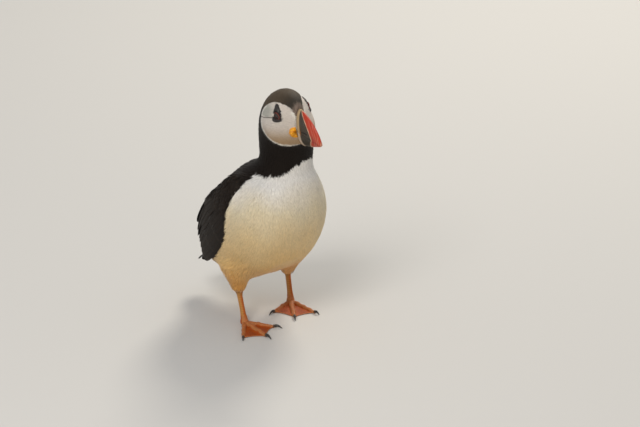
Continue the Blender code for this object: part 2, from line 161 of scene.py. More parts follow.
def head_turn(weight):
    """The head's turn, or a share of it, as a rotation matrix for each weight."""
    yaw, pitch, roll = (math.radians(a) * np.asarray(weight, float) for a in HEAD_TURN)
    cy, sy, cp, sp = np.cos(yaw), np.sin(yaw), np.cos(pitch), np.sin(pitch)
    cr, sr = np.cos(roll), np.sin(roll)
    rows = [
        [cy * cp, cy * sp * sr - sy * cr, cy * sp * cr + sy * sr],
        [sy * cp, sy * sp * sr + cy * cr, sy * sp * cr - cy * sr],
        [-sp, cp * sr, cp * cr],
    ]
    return np.moveaxis(np.array(rows), (0, 1), (-2, -1))


def turned(points, weight=1.0):
    p = np.atleast_2d(np.asarray(points, float)) - NECK_PIVOT
    return np.einsum("...ij,...j->...i", head_turn(weight), p) + NECK_PIVOT


def unturned(points, weight=1.0):
    p = np.atleast_2d(np.asarray(points, float)) - NECK_PIVOT
    return np.einsum("...ji,...j->...i", head_turn(weight), p) + NECK_PIVOT


def mesh_points(obj):
    co = np.empty(len(obj.data.vertices) * 3)
    obj.data.vertices.foreach_get("co", co)
    return co.reshape(-1, 3)


def ball_centre(node):
    return np.unique(mesh_points(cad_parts[node]).round(6), axis=0).mean(0)


def bird_origin():
    """Where the bird's own zero stands in the row frame, found from the middle of its eyes."""
    middle = (ball_centre("eye_left") + ball_centre("eye_right")) / 2
    f, l, u = turned([(EYE[0], 0, EYE[2])])[0]
    return middle - np.array((l, -f, u)) * MM


ORIGIN = bird_origin()


def linked(name, data):
    """A new object, in the scene."""
    obj = bpy.data.objects.new(name, data)
    bpy.context.scene.collection.objects.link(obj)
    return obj


def new_object(name, points, *faces):
    """A mesh object from bird-frame points and arrays of faces, each array of one face size."""
    mesh = bpy.data.meshes.new(name)
    co = in_row(points)
    corners = np.concatenate([np.asarray(f).ravel() for f in faces])
    sizes = np.concatenate([np.full(len(f), np.shape(f)[1]) for f in faces])
    mesh.vertices.add(len(co))
    mesh.vertices.foreach_set("co", co.ravel())
    mesh.loops.add(len(corners))
    mesh.loops.foreach_set("vertex_index", corners.astype(np.int32))
    mesh.polygons.add(len(sizes))
    starts = np.concatenate([[0], np.cumsum(sizes)[:-1]])
    mesh.polygons.foreach_set("loop_start", starts.astype(np.int32))
    mesh.update(calc_edges=True)
    mesh.shade_smooth()
    return linked(name, mesh)


def paint(obj, colours):
    """A colour for each vertex, as linear light."""
    rgba = np.ones((len(obj.data.vertices), 4), np.float32)
    rgba[:, :3] = colours
    layer = obj.data.color_attributes.new("coat", "FLOAT_COLOR", "POINT")
    layer.data.foreach_set("color", rgba.ravel())


def note(obj, name, vectors):
    """A vector for each vertex, which the materials read."""
    layer = obj.data.attributes.new(name, "FLOAT_VECTOR", "POINT")
    layer.data.foreach_set("vector", np.asarray(vectors, np.float32).ravel())


def finish_piece(obj, look, *nodes):
    """Gives a piece its material, hangs it from the root, and hides the solids that it replaces."""
    slot, material = LOOKS[look]
    obj.data.materials.append(material)
    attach(obj, "root")
    if nodes:
        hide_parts(*nodes)
    return obj


def grid_faces(rows, columns, closed=False):
    """Quads of a grid of points; closed joins the last column to the first."""
    r = np.arange(rows - 1)[:, None]
    c = np.arange(columns if closed else columns - 1)[None, :]
    n = (c + 1) % columns
    quads = [r * columns + c, r * columns + n, (r + 1) * columns + n, (r + 1) * columns + c]
    return np.stack([q.ravel() for q in quads], 1)


# ------------------------------------------------------------------ where a point is on the body
STATION_ROWS = np.array(BODY_STATIONS, float)
STATION_STEPS = 12
BEYOND, BEYOND_COST = 0.62, 30  # how far from its middle a section still counts, and then costs


def body_table():
    """The stations' ventral and dorsal points, read finely along the body."""
    knots = np.arange(len(STATION_ROWS))
    fine = np.linspace(0, knots[-1], knots[-1] * STATION_STEPS + 1)
    return fine, np.column_stack([np.interp(fine, knots, c) for c in STATION_ROWS.T])


FINE_PLACES, FINE_ROWS = body_table()


def place_on_body(points):
    """For each point: its station number, and how far up its section it lies, 0 to 1."""
    f, u = points[:, 0:1], points[:, 2:3]
    vf, vu, df, du = (c[None, :] for c in FINE_ROWS.T)
    ef, eu = df - vf, du - vu
    length = np.hypot(ef, eu)
    rise = ((f - vf) * ef + (u - vu) * eu) / length**2
    off = np.abs((f - vf) * eu - (u - vu) * ef) / length
    off += BEYOND_COST * np.maximum(0, np.abs(rise - 0.5) - BEYOND)
    best = off.argmin(1)
    return FINE_PLACES[best], rise[np.arange(len(best)), best]


def turn_weight(place):
    return smoothstep(place, SHOULDER, OCCIPUT)


def body_coordinates(points):
    """Station number, rise, and the point as it would be with the head straight."""
    straight = points
    for _ in range(3):
        place, rise = place_on_body(straight)
        straight = unturned(points, turn_weight(place))
    return place, rise, straight


def body_lie(place, rise):
    """The way the plumage lies on the body: along the sections towards the tail."""
    ahead = np.clip(place + 0.5, 0, len(STATION_ROWS) - 1)
    behind = np.clip(place - 0.5, 0, len(STATION_ROWS) - 1)
    knots = np.arange(len(STATION_ROWS))
    step = [np.interp(behind, knots, c) - np.interp(ahead, knots, c) for c in STATION_ROWS.T]
    rise = np.clip(rise, 0, 1)
    lie = np.zeros((len(place), 3))
    lie[:, 0] = step[0] * (1 - rise) + step[2] * rise
    lie[:, 2] = step[1] * (1 - rise) + step[3] * rise
    return normalised(lie)


# ------------------------------------------------------------------ skin
FLESH = ["rump", "trunk", "neck", "head", "wing_left", "wing_right", "thigh_left", "thigh_right"]
FILLED = ["eye_left", "eye_right", "gape_rosette_left", "gape_rosette_right"]
WING_REGIONS = ((1, 1), (2, -1))  # the skin's region, and the side of the bird
THIGH_REGION = 3  # the thighs' regions are this and above
SEAM_GROWTH, FILL_SHRINK = 0.45, -0.5
SKIN_VOXEL, SKIN_SMOOTHING = 0.9, 22
DEPTH_SMOOTHING, LAST_SMOOTHING = 24, 4
BELLY_LIFT, BELLY_TOP, BELLY_HALF_WIDTH = 3.5, 62, 19
MELT_PASSES, MELT_SMOOTHING = 4, 80
KNEES = ((-17.0, 25.0), (-20.0, -26.5))  # (forward, left)


def welded_copy(node, grow):
    """A node's mesh with its shared points welded, grown along its normals by millimetres."""
    bm = bmesh.new()
    bm.from_mesh(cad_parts[node].data)
    bmesh.ops.remove_doubles(bm, verts=bm.verts, dist=1e-6)
    bm.normal_update()
    for v in bm.verts:
        v.co += v.normal * grow * MM
    return bm


def joined(nodes_and_growth, name):
    whole = bmesh.new()
    for node, grow in nodes_and_growth:
        bm = welded_copy(node, grow)
        part = bpy.data.meshes.new("part")
        bm.to_mesh(part)
        bm.free()
        whole.from_mesh(part)
        bpy.data.meshes.remove(part)
    mesh = bpy.data.meshes.new(name)
    whole.to_mesh(mesh)
    whole.free()
    return linked(name, mesh)


def remeshed(obj, voxel):
    """The closed surface round a mesh: (bird-frame points, triangles)."""
    modifier = obj.modifiers.new("remesh", "REMESH")
    modifier.mode = "VOXEL"
    modifier.voxel_size = voxel * MM
    graph = bpy.context.evaluated_depsgraph_get()
    mesh = bpy.data.meshes.new_from_object(obj.evaluated_get(graph))
    mesh.calc_loop_triangles()
    co = np.empty(len(mesh.vertices) * 3)
    mesh.vertices.foreach_get("co", co)
    triangles = np.empty(len(mesh.loop_triangles) * 3, np.int32)
    mesh.loop_triangles.foreach_get("vertices", triangles)
    bpy.data.objects.remove(obj)
    bpy.data.meshes.remove(mesh)
    return in_bird(co.reshape(-1, 3)), triangles.reshape(-1, 3)


def smoothed(points, triangles, rounds, strength=0.6, back=0.9):
    """Evens out a surface; every second round moves back by a share, which keeps its size."""
    edges = np.concatenate([triangles[:, [0, 1]], triangles[:, [1, 2]], triangles[:, [2, 0]]])
    a, b = np.concatenate([edges, edges[:, ::-1]]).T
    count = np.bincount(a, minlength=len(points))[:, None]
    for k in range(0, rounds, 1 if back else 2):
        mean = np.stack([np.bincount(a, points[b, i], len(points)) for i in range(3)], 1) / count
        factor = strength if k % 2 == 0 else -strength * back
        points = points + (mean - points) * factor
    return points


def vertex_normals(points, triangles):
    a, b, c = (points[triangles[:, i]] for i in range(3))
    face = np.cross(b - a, c - a)
    total = np.zeros_like(points)
    for i in range(3):
        for k in range(3):
            total[:, k] += np.bincount(triangles[:, i], face[:, k], len(points))
    return normalised(total)


def node_tree(*nodes):
    """A search tree of some nodes' surfaces, in bird-frame millimetres."""
    points, faces, start = [], [], 0
    for node in nodes:
        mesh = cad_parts[node].data
        co = in_bird(mesh_points(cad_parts[node]))
        points.append(co)
        faces += [[start + v for v in p.vertices] for p in mesh.polygons]
        start += len(co)
    return BVHTree.FromPolygons(np.concatenate(points).tolist(), faces)


def distances(tree, points):
    return np.array([tree.find_nearest(Vector(p))[3] for p in points])


def nearest(points, *spots):
    """Distance of each point to the nearest of some spots."""
    return np.min([np.linalg.norm(points - spot, axis=1) for spot in spots], 0)


def both(spot):
    """A spot on the left side and its mirror image on the right."""
    return [np.array(spot) * (1, side, 1) for side, _ in SIDES]


def belly_rise(points):
    """How far the belly between the legs lies above the solids."""
    forward, left, up = points.T
    return (BELLY_LIFT * smoothstep(BELLY_TOP - up, 0, 14)
            * smoothstep(BELLY_HALF_WIDTH - np.abs(left), 0, 12) * smoothstep(forward, -40, -15))


def melting(points):
    """1 where the tops of the thighs and of the wings melt into the body, 0 elsewhere."""
    band = smoothstep(points[:, 2], 36, 45) * (1 - smoothstep(points[:, 2], 60, 70))
    thigh = band * (1 - smoothstep(nearest(points[:, :2], *KNEES), 21, 29))
    wing = 1 - smoothstep(nearest(points, *both(WING_STATIONS[0][:3])), 15, 28)
    return np.maximum(thigh, wing)


class Skin:
    """The bird's skin: its points, triangles, body coordinates, and a search tree."""

    def __init__(self):
        source = joined(
            [(n, SEAM_GROWTH) for n in FLESH] + [(n, FILL_SHRINK) for n in FILLED], "skin"
        )
        points, self.triangles = remeshed(source, SKIN_VOXEL)
        outer = smoothed(points, self.triangles, SKIN_SMOOTHING)
        self.region = self.find_regions(outer)
        outer[:, 2] += belly_rise(outer)
        share = melting(outer)[:, None]
        for _ in range(MELT_PASSES):
            even = smoothed(outer, self.triangles, MELT_SMOOTHING, back=0)
            outer = outer + (even - outer) * share
        self.locate(outer)
        depth = coat_depth(self)[:, None].repeat(3, 1)
        depth = smoothed(depth, self.triangles, DEPTH_SMOOTHING, back=0) + SEAM_GROWTH
        inner = outer - self.normals * depth
        self.points = smoothed(inner, self.triangles, LAST_SMOOTHING)
        self.locate(self.points)
        self.points = self.points + self.normals * face_relief(self)[:, None]
        self.normals = vertex_normals(self.points, self.triangles)
        self.tree = BVHTree.FromPolygons(self.points.tolist(), self.triangles.tolist())

    def find_regions(self, points):
        """0 on the body, 1 and 2 on the left and right wing, 3 and 4 on the thighs."""
        closest = distances(node_tree(*FLESH[:4]), points)
        region = np.zeros(len(points), int)
        for number, node in enumerate(FLESH[4:], 1):
            away = distances(node_tree(node), points)
            region[away < closest] = number
            closest = np.minimum(closest, away)
        return region

    def locate(self, points):
        self.place, self.rise, self.straight = body_coordinates(points)
        self.normals = vertex_normals(points, self.triangles)


# ------------------------------------------------------------------ markings
BREAST_WHITE = (0.82, 0.805, 0.78)
# Painted warm bounce light on the white plumage, stronger towards the belly: height, then colour.
UNDERSIDE_WARM_BOUNCE = np.array([(36, 0.74, 0.36, 0.085), (60, 0.79, 0.53, 0.22), (84, 0.78, 0.60, 0.335),
                      (106, 0.79, 0.69, 0.49), (130, *BREAST_WHITE)])
# Grey streaks on the flanks: painted shadows between clumps of feathers.
FLANK_CLUMP_SHADOW = (0.30, 0.27, 0.24)
FACE_GREY = (0.66, 0.595, 0.535)
# Painted warm shade for the lower face and the chin.
FACE_WARM_SHADE = (0.38, 0.26, 0.15)
FACE_SHADE = (0.37, 0.375, 0.33)
FACE_RIM = (0.80, 0.77, 0.70)
# The rear crown: its own grey-brown, made lighter by painted sunlight.
CROWN_GREY_AND_SUNLIT = (0.086, 0.063, 0.042)
CROWN_FRONT = (0.036, 0.030, 0.023)
COLLAR = (0.0075, 0.0044, 0.0027)
BACK = (0.0080, 0.0044, 0.0024)
BACK_EDGE = (0.050, 0.034, 0.022)
CREASE = (0.10, 0.085, 0.07)
CULMEN_BASE = (0.28, 0.21, 0.17)
EYE_SKIN = (0.024, 0.019, 0.017)

# The lower edge of the black collar: how far to the left, and its height.
COLLAR_EDGE = [
    (-37, 126.5), (-30.7, 130.1), (-26.5, 132.3), (-23.2, 134.0), (-20.2, 134.8), (-16, 135.6),
    (-11.5, 137.5), (-6.6, 140.6), (-0.6, 144.0), (5.5, 146.5), (12, 147.0), (18, 144.5),
    (24, 140.5), (30, 135.5), (37, 129),
]
# The black of the wing and back ends here at each height: how far forward it reaches.
BLACK_FRONT = [
    (43, -72), (48, -55), (53, -38), (59.2, -30), (71.8, -21.8), (80.7, -17), (87.8, -13.7),
    (97, -12.1), (104.2, -11.2), (109.8, -9.4), (115.4, -7), (120, -5), (124.3, -3.6),
    (127, -2.6), (133, 0), (139, 3),
]
# The face disc's outline as seen from the side, round from the forehead: (forward, up).
DISC = [
    (36.5, 191.5), (34.0, 194.0), (30.4, 196.8), (25, 199.0), (19, 199.9), (13, 198.7),
    (8, 196.4), (3.5, 193.6), (0.2, 189.5), (-0.6, 185.0), (0.6, 180.2), (3.4, 176.6),
    (7.6, 173.4), (12.6, 169.9), (17.5, 167.4), (22.5, 165.3), (27, 163.6), (32, 162.2),
    (38, 161.5), (45, 163), (45, 191),
]
# The horny plates above and below the eye: their outlines, and a point that sees all of each.
UPPER_PLATE = [
    (16.3, 198.5), (18.2, 198.9), (20.6, 197.6), (22.9, 195.5), (24.6, 193.3), (25.1, 191.6),
    (24.5, 191.9), (23.6, 193.1), (22.3, 193.8), (20.8, 193.8), (19.3, 193.1), (18.3, 191.8),
    (17.5, 191.2), (17.3, 192.6), (17.0, 195.6),
], (19.0, 195.6)
LOWER_PLATE = [
    (16.4, 187.0), (16.8, 185.8), (20.5, 185.3), (24.5, 185.6), (25.6, 186.6), (25.3, 188.2),
    (24.2, 188.0), (23.2, 187.2), (21.9, 186.9), (20.3, 187.2), (19.0, 188.0), (17.4, 188.3),
], (20.9, 186.2)
# In the same view, the dark bare skin round the eye, and the crease that runs back from it.
EYE_PATCH = [
    (16.2, 198.2), (18.4, 198.8), (20.7, 197.6), (23.0, 195.6), (24.8, 193.2), (25.6, 190.6),
    (25.8, 188.0), (25.4, 186.0), (21.0, 185.5), (16.8, 185.8), (16.9, 188.2), (17.5, 190.4),
    (17.2, 193.0),
]
CHEEK_CREASE = [(16.6, 187.8), (14.0, 187.3), (10.0, 186.3), (5.5, 185.2), (1.2, 184.6)]


def outline_distance(points, outline):
    """Signed distance in a plane to a closed outline, positive inside."""
    ring = np.array(outline + outline[:1], float)
    inside = np.zeros(len(points), bool)
    for (ax, ay), (bx, by) in zip(ring[:-1], ring[1:]):
        crosses = (ay > points[:, 1]) != (by > points[:, 1])
        at = ax + (points[:, 1] - ay) / (by - ay + 1e-12) * (bx - ax)
        inside ^= crosses & (points[:, 0] < at)
    away = line_distance(points, ring)
    return np.where(inside, away, -away)


def segment_distance(points, start, end):
    a, b = np.asarray(start, float), np.asarray(end, float)
    share = np.clip(((points - a) @ (b - a)) / ((b - a) @ (b - a)), 0, 1)
    return np.linalg.norm(points - (a + share[:, None] * (b - a)), axis=1)


def line_distance(points, line):
    return np.min([segment_distance(points, a, b) for a, b in zip(line[:-1], line[1:])], 0)


def side_view(straight):
    """(forward, up) of points of the straight head, as its side view shows them."""
    return straight[:, [0, 2]]


def ripple(points, scale, seed):
    """Smooth noise from a few sines, about -1 to 1."""
    rng = np.random.default_rng(seed)
    total = np.zeros(len(points))
    for _ in range(6):
        wave = rng.normal(0, 1, 3)
        wave *= rng.uniform(0.6, 1.7) / np.linalg.norm(wave) * 2 * math.pi / scale
        total += np.sin(points @ wave + rng.uniform(0, 2 * math.pi))
    return total / 3.2


def on_face(straight, place):
    """Millimetres inside the pale face disc, negative outside it."""
    inside = outline_distance(side_view(straight), DISC)
    narrow = np.interp(straight[:, 2], (163, 168, 190, 196, 200), (0, 0, 4.2, 5.4, 6.5))
    inside = np.minimum(inside, (np.abs(straight[:, 1]) - narrow) * 0.8 + 0.4)
    return np.where(place > 9.2, inside, -9.0)


def behind_front(points):
    """How far behind the front edge of the wing's and back's black each point lies."""
    heights, reach = np.array(BLACK_FRONT).T
    return np.interp(points[:, 2], heights, reach) - points[:, 0]


def black_share(points, region):
    """1 where the body plumage is black, 0 where it is white, with a narrow ragged edge."""
    ragged = 0.5 * ripple(points, 5.0, 3) + 0.35 * ripple(points, 2.1, 4)
    collar = points[:, 2] - np.interp(points[:, 1], *np.array(COLLAR_EDGE).T) + ragged
    front = behind_front(points) + ragged
    black = np.maximum(smoothstep(collar, -0.7, 0.7), smoothstep(front, -0.8, 0.8))
    return np.where(region >= THIGH_REGION, 0.0, black)


def markings(points, region, place, straight):
    """The colour of skin and plumage at each point, painted light and shade included, with the
    share of black and of face.
    """
    face = on_face(straight, place)
    black = black_share(points, region)
    height = points[:, 2] + 4 * ripple(points, 40, 11)
    # painted warm bounce light: the white plumage turns warmer lower down
    white = np.column_stack([np.interp(height, UNDERSIDE_WARM_BOUNCE[:, 0], tint) for tint in UNDERSIDE_WARM_BOUNCE.T[1:]])
    # painted shadows between clumps of flank feathers, as grey streaks
    flank = smoothstep(-points[:, 0], 22, 46) * smoothstep(60 - points[:, 2], -4, 14)
    white = mixed(white, FLANK_CLUMP_SHADOW, 0.35 * flank * (np.abs(ripple(points, 16, 5)) > 0.25))
    dark = mixed(BACK, COLLAR, smoothstep(place, 7.6, 8.6))
    # the crown's own grey-brown with painted sunlight, lighter behind than towards the bill
    crown = mixed(CROWN_GREY_AND_SUNLIT, CROWN_FRONT, smoothstep(straight[:, 0], 14, 32))
    top = smoothstep(straight[:, 2] + 0.35 * straight[:, 0], 184, 196)
    top = top * smoothstep(place, 9.3, 11.2)
    dark = mixed(dark, crown, top)
    dark = mixed(dark, CULMEN_BASE, 0.8 * top * smoothstep(straight[:, 0], 29.5, 33.5))
    body = mixed(white, dark, black)
    flat = side_view(straight)
    # painted warm shade, darker and warmer low on the face
    pale = mixed(FACE_GREY, FACE_WARM_SHADE, smoothstep(184 - flat[:, 1], 0, 16))
    shade = smoothstep(19 - flat[:, 0], 0, 9) * smoothstep(flat[:, 1], 186.0, 187.2)
    pale = mixed(pale, FACE_SHADE, 0.75 * shade * smoothstep(198 - flat[:, 1], 0, 5))
    pale = mixed(pale, FACE_RIM, 0.9 * smoothstep(2.0 - face, 0, 1.2) * (flat[:, 1] < 194))
    pale = mixed(pale, EYE_SKIN, smoothstep(outline_distance(flat, EYE_PATCH), -0.35, 0.15))
    crease = line_distance(flat, CHEEK_CREASE)
    pale = mixed(pale, CREASE, 0.9 * smoothstep(0.75 - crease, 0, 0.5))
    ragged = face + 0.18 * ripple(points, 1.6, 6)
    return mixed(body, pale, smoothstep(ragged, -0.2, 0.25)), black, face


# Millimetres from the solids to the skin, by station on the body, and on wings and thighs.
BODY_DEPTH = [(0, 1.6), (2, 2.2), (5, 2.3), (7, 2.2), (8, 1.7), (9.4, 1.3), (10.4, 0.95), (15, 0.8)]
WING_DEPTH, THIGH_DEPTH = 1.7, 1.5
HEAD_PLACE = 9.5


def coat_depth(skin):
    """How far the skin lies inside the solids, by how long the plumage is there."""
    depth = np.interp(skin.place, *np.array(BODY_DEPTH).T)
    for number, _ in WING_REGIONS:
        depth = np.where(skin.region == number, WING_DEPTH, depth)
    depth = np.where(skin.region >= THIGH_REGION, THIGH_DEPTH, depth)
    bare = smoothstep(nearest(skin.straight, *both(EYE)), 6.0, 9.5)
    return np.where(skin.place > HEAD_PLACE, depth * bare + 0.1, depth)


EYE_AXIS = np.array((0.08, 0.99, -0.04)) / math.hypot(0.08, 0.99, -0.04)
APERTURE, LID_WIDTH = 2.65, 0.75


def from_eye(straight):
    """Distance of each point of the head, put straight, from the nearer eye's own axis."""
    side = np.ones_like(straight)
    side[:, 1] = np.where(straight[:, 1] > 0, 1.0, -1.0)
    away, axis = straight - np.array(EYE) * side, EYE_AXIS * side
    along = np.sum(away * axis, axis=1, keepdims=True)
    radius = np.linalg.norm(away - axis * along, axis=1)
    return np.where(along[:, 0] > 0, radius, 99.0)


def face_relief(skin):
    """Folds of the face: the socket that the eye looks out of, its lids, and the cheek crease."""
    crease = line_distance(side_view(skin.straight), CHEEK_CREASE)
    radius = from_eye(skin.straight)
    relief = -0.6 * np.exp(-((crease / 0.8) ** 2))
    relief -= 1.7 * smoothstep(APERTURE + 1.0 - radius, 0, 1.3)
    relief += 0.35 * np.exp(-(((radius - APERTURE - 2.0) / 1.0) ** 2))
    return np.where(on_face(skin.straight, skin.place) > 0, relief, 0)


# ------------------------------------------------------------------ materials
BARB_SLANT = -1.1


class Surface:
    """A material of painted colour, which noise and patterns then vary."""

    def __init__(self, name, roughness, **sockets):
        self.material = bpy.data.materials.new(name)
        self.material.use_nodes = True
        self.tree = self.material.node_tree
        self.shader = self.tree.nodes["Principled BSDF"]
        self.shader.inputs["Roughness"].default_value = roughness
        for socket, value in sockets.items():
            self.shader.inputs[socket.replace("_", " ")].default_value = value
        self.colour = self.add("Attribute", "Color", attribute_name="coat")
        self.place = self.add("TexCoord", "Object")

    def add(self, kind, output, inputs=None, **properties):
        """An output of a new node, whose inputs each take a value or another node's output."""
        node = self.tree.nodes.new("ShaderNode" + kind)
        for key, value in properties.items():
            setattr(node, key, value)
        for key, value in (inputs or {}).items():
            if isinstance(value, bpy.types.NodeSocket):
                self.tree.links.new(value, node.inputs[key])
            else:
                node.inputs[key].default_value = value
        return node.outputs[output]

    def noise(self, scale, detail=3.0, vector=None):
        vector = self.place if vector is None else vector
        return self.add("TexNoise", "Fac", {"Vector": vector, "Scale": scale, "Detail": detail})

    def span(self, factor, low, high):
        return self.add("MapRange", "Result", {"Value": factor, "To Min": low, "To Max": high})

    def tint(self, factor, low, high):
        """Multiplies the colour by a brightness that runs from low to high with the factor."""
        inputs = {"Factor": 1.0, "A": self.colour, "B": self.span(factor, low, high)}
        self.colour = self.add("Mix", "Result", inputs, data_type="RGBA", blend_type="MULTIPLY")

    def maths(self, operation, *values):
        return self.add("Math", 0, dict(enumerate(values)), operation=operation)

    def barbs(self):
        """Lines of a vane's barbs, slanting out from its shaft, as a 0 to 1 height."""
        vane = self.add("Attribute", "Vector", attribute_name="vane")
        x, y, chance = (self.add("SeparateXYZ", axis, {"Vector": vane}) for axis in "XYZ")
        along = self.maths("ADD", self.maths("MULTIPLY", self.maths("ABSOLUTE", x), BARB_SLANT), y)
        return self.noise(3.2, 2.0, self.add("CombineXYZ", "Vector", {"X": along, "Y": chance}))

    def finish(self, rough, low, high, height, strength, distance):
        """Links the colour, a roughness from low to high, and a bump from the height."""
        inputs, link = self.shader.inputs, self.tree.links.new
        bump = {"Strength": strength, "Distance": distance, "Height": height}
        link(self.colour, inputs["Base Color"])
        link(self.span(rough, low, high), inputs["Roughness"])
        link(self.add("Bump", "Normal", bump), inputs["Normal"])
        return self.material


def plumage(name, roughness, sheen, bump, contrast, specular=0.3):
    made = Surface(name, roughness, Sheen_Weight=sheen, Sheen_Roughness=0.45,
                   Specular_IOR_Level=specular)
    lines = made.barbs()
    made.tint(lines, 1 - contrast, 1 + contrast)
    made.tint(made.noise(90.0), 0.93, 1.07)
    return made.finish(lines, roughness - 0.1, roughness + 0.1, lines, bump, 0.00012)


def horn(name, roughness, grain, bump, coat=0.0):
    """Horn, claw or bare skin: fine grain, and roughness that follows a broader one."""
    made = Surface(name, roughness, Coat_Weight=coat, Coat_Roughness=0.25, Specular_IOR_Level=0.45)
    fine, broad = made.noise(grain, 5.0), made.noise(grain * 0.22)
    made.tint(fine, 0.88, 1.1)
    made.tint(broad, 0.9, 1.1)
    return made.finish(broad, roughness - 0.08, roughness + 0.12, fine, bump, 0.0002)


def scaled_skin(name, roughness, cells):
    """Bare leg skin: small rounded scales with darker lines between them."""
    made = Surface(name, roughness, Coat_Weight=0.06, Coat_Roughness=0.35, Subsurface_Weight=0.06,
                   Subsurface_Scale=0.002, Subsurface_Radius=(1.0, 0.35, 0.15),
                   Specular_IOR_Level=0.22)
    edge = made.add("TexVoronoi", "Distance", {"Vector": made.place, "Scale": cells},
                    feature="DISTANCE_TO_EDGE")
    scales = made.add("MapRange", "Result", {"Value": edge, "From Max": 0.22})
    fine = made.noise(cells * 2.2, 4.0)
    made.tint(scales, 0.80, 1.03)
    made.tint(fine, 0.86, 1.12)
    return made.finish(fine, roughness - 0.1, roughness + 0.12, scales, 0.5, 0.00025)


def glossy(name):
    """The wet surface of an eye."""
    made = Surface(name, 0.12, Coat_Weight=0.6, Coat_Roughness=0.03, Specular_IOR_Level=0.25)
    cloud = made.noise(2500.0)
    made.tint(cloud, 0.8, 1.2)
    return made.finish(cloud, 0.08, 0.16, cloud, 0.02, 0.0001)


LOOKS = {  # slot and material
    "skin": ("white_plumage", horn("puffin_skin", 0.75, 900, 0.3)),
    "white": ("white_plumage", plumage("white_plumage", 0.72, 0.25, 0.4, 0.04)),
    "face": ("face_plumage", plumage("face_plumage", 0.74, 0.2, 0.4, 0.05)),
    "black": ("black_plumage", plumage("black_plumage", 0.56, 0.02, 0.8, 0.22, specular=0.16)),
    "flight": ("black_plumage", plumage("flight_feathers", 0.46, 0.02, 0.9, 0.25, specular=0.2)),
    "slate": ("bill_slate", horn("bill_slate", 0.42, 700, 0.35, 0.08)),
    "red": ("bill_red", horn("bill_red", 0.36, 600, 0.3, 0.15)),
    "cream": ("bill_cream", horn("bill_cream", 0.5, 1100, 0.5)),
    "rosette": ("rosette_yellow", horn("rosette_yellow", 0.48, 900, 0.4, 0.1)),
    "lid": ("bill_red", horn("eyelid_red", 0.45, 1300, 0.5, 0.1)),
    "plate": ("bill_slate", horn("eye_plate", 0.5, 1200, 0.4)),
    "eye": ("eye_dark", glossy("eye_dark")),
    "leg": ("leg_orange", scaled_skin("leg_orange", 0.44, 1100)),
    "claw": ("claw_black", horn("claw_black", 0.34, 800, 0.3, 0.2)),
}
LOOKS["chin"] = ("face_plumage", LOOKS["skin"][1])


# ------------------------------------------------------------------ the skin as a piece
BAKE_MAP = "OFBake"
UNWRAP_ANGLE, UNWRAP_MARGIN = 66, 0.002
# Painted shade: the skin between the tufts is darker than the plumage.
SKIN_PAINTED_SHADE = 0.7  # the skin's colour is this much of the plumage's, for depth between the tufts


def unwrap(obj):
    """An unwrap of the mesh's own shape, in the bake map."""
    obj.data.uv_layers.new(name=BAKE_MAP)
    bpy.context.view_layer.objects.active = obj
    obj.select_set(True)
    bpy.ops.object.mode_set(mode="EDIT")
    bpy.ops.mesh.select_all(action="SELECT")
    bpy.ops.uv.smart_project(angle_limit=math.radians(UNWRAP_ANGLE), island_margin=UNWRAP_MARGIN)
    bpy.ops.object.mode_set(mode="OBJECT")
    obj.select_set(False)
    uv = np.empty(len(obj.data.loops) * 2)
    obj.data.uv_layers[BAKE_MAP].data.foreach_get("uv", uv)
    return uv.reshape(-1, 3, 2)


SKIN = Skin()


def make_skin():
    obj = new_object("skin", SKIN.points, SKIN.triangles)
    colours, _, _ = markings(SKIN.points, SKIN.region, SKIN.place, SKIN.straight)
    # painted shade where the skin shows between the tufts
    paint(obj, colours * SKIN_PAINTED_SHADE)
    SKIN.uv = unwrap(obj)
    finish_piece(obj, "skin", *FLESH)


make_skin()


# ------------------------------------------------------------------ roots of the plumage
TRIES = 5.0  # random places drawn for each one that the spacing has room for
STRETCH, SHOWN = 0.97, 0.8  # how far along a feather its tip is sought, and its marking read
BILL_ROOT = np.array((46.0, 0.0, 186.0))
SPREAD_FALL = 0.25
THIGH_LIE, THIGH_KEEP = (0.08, 0, -0.8), 0.3
LIE_NOISE = 0.05


def scatter(mask, spacing):
    """Random roots on the masked triangles of the skin, no two nearer than the spacing."""
    chosen = np.flatnonzero(mask)
    a, b, c = (SKIN.points[SKIN.triangles[chosen, i]] for i in range(3))
    area = np.linalg.norm(np.cross(b - a, c - a), axis=1) / 2
    count = int(area.sum() / spacing**2 * TRIES)
    face = RNG.choice(len(chosen), count, p=area / area.sum())
    r, s = np.sqrt(RNG.random(count)), RNG.random(count)
    weights = np.column_stack([1 - r, r * (1 - s), r * s])
    points = a[face] * weights[:, :1] + b[face] * weights[:, 1:2] + c[face] * weights[:, 2:]
    keep = spaced(points, spacing)
    return chosen[face[keep]], weights[keep], points[keep]


NEAR_CELLS = [(i, j, k) for i in (-1, 0, 1) for j in (-1, 0, 1) for k in (-1, 0, 1)]


def spaced(points, spacing):
    """Indices of points taken in turn that keep the spacing from all those before them."""
    cells, kept = {}, []
    limit = spacing * spacing
    places = np.floor(points / spacing).astype(int).tolist()
    for index, (cell, point) in enumerate(zip(places, points.tolist())):
        if is_free(cells, cell, point, limit):
            cells.setdefault(tuple(cell), []).append(point)
            kept.append(index)
    return np.array(kept)


def is_free(cells, cell, point, limit):
    i, j, k = cell
    x, y, z = point
    for di, dj, dk in NEAR_CELLS:
        for px, py, pz in cells.get((i + di, j + dj, k + dk), ()):
            if (px - x) ** 2 + (py - y) ** 2 + (pz - z) ** 2 < limit:
                return False
    return True


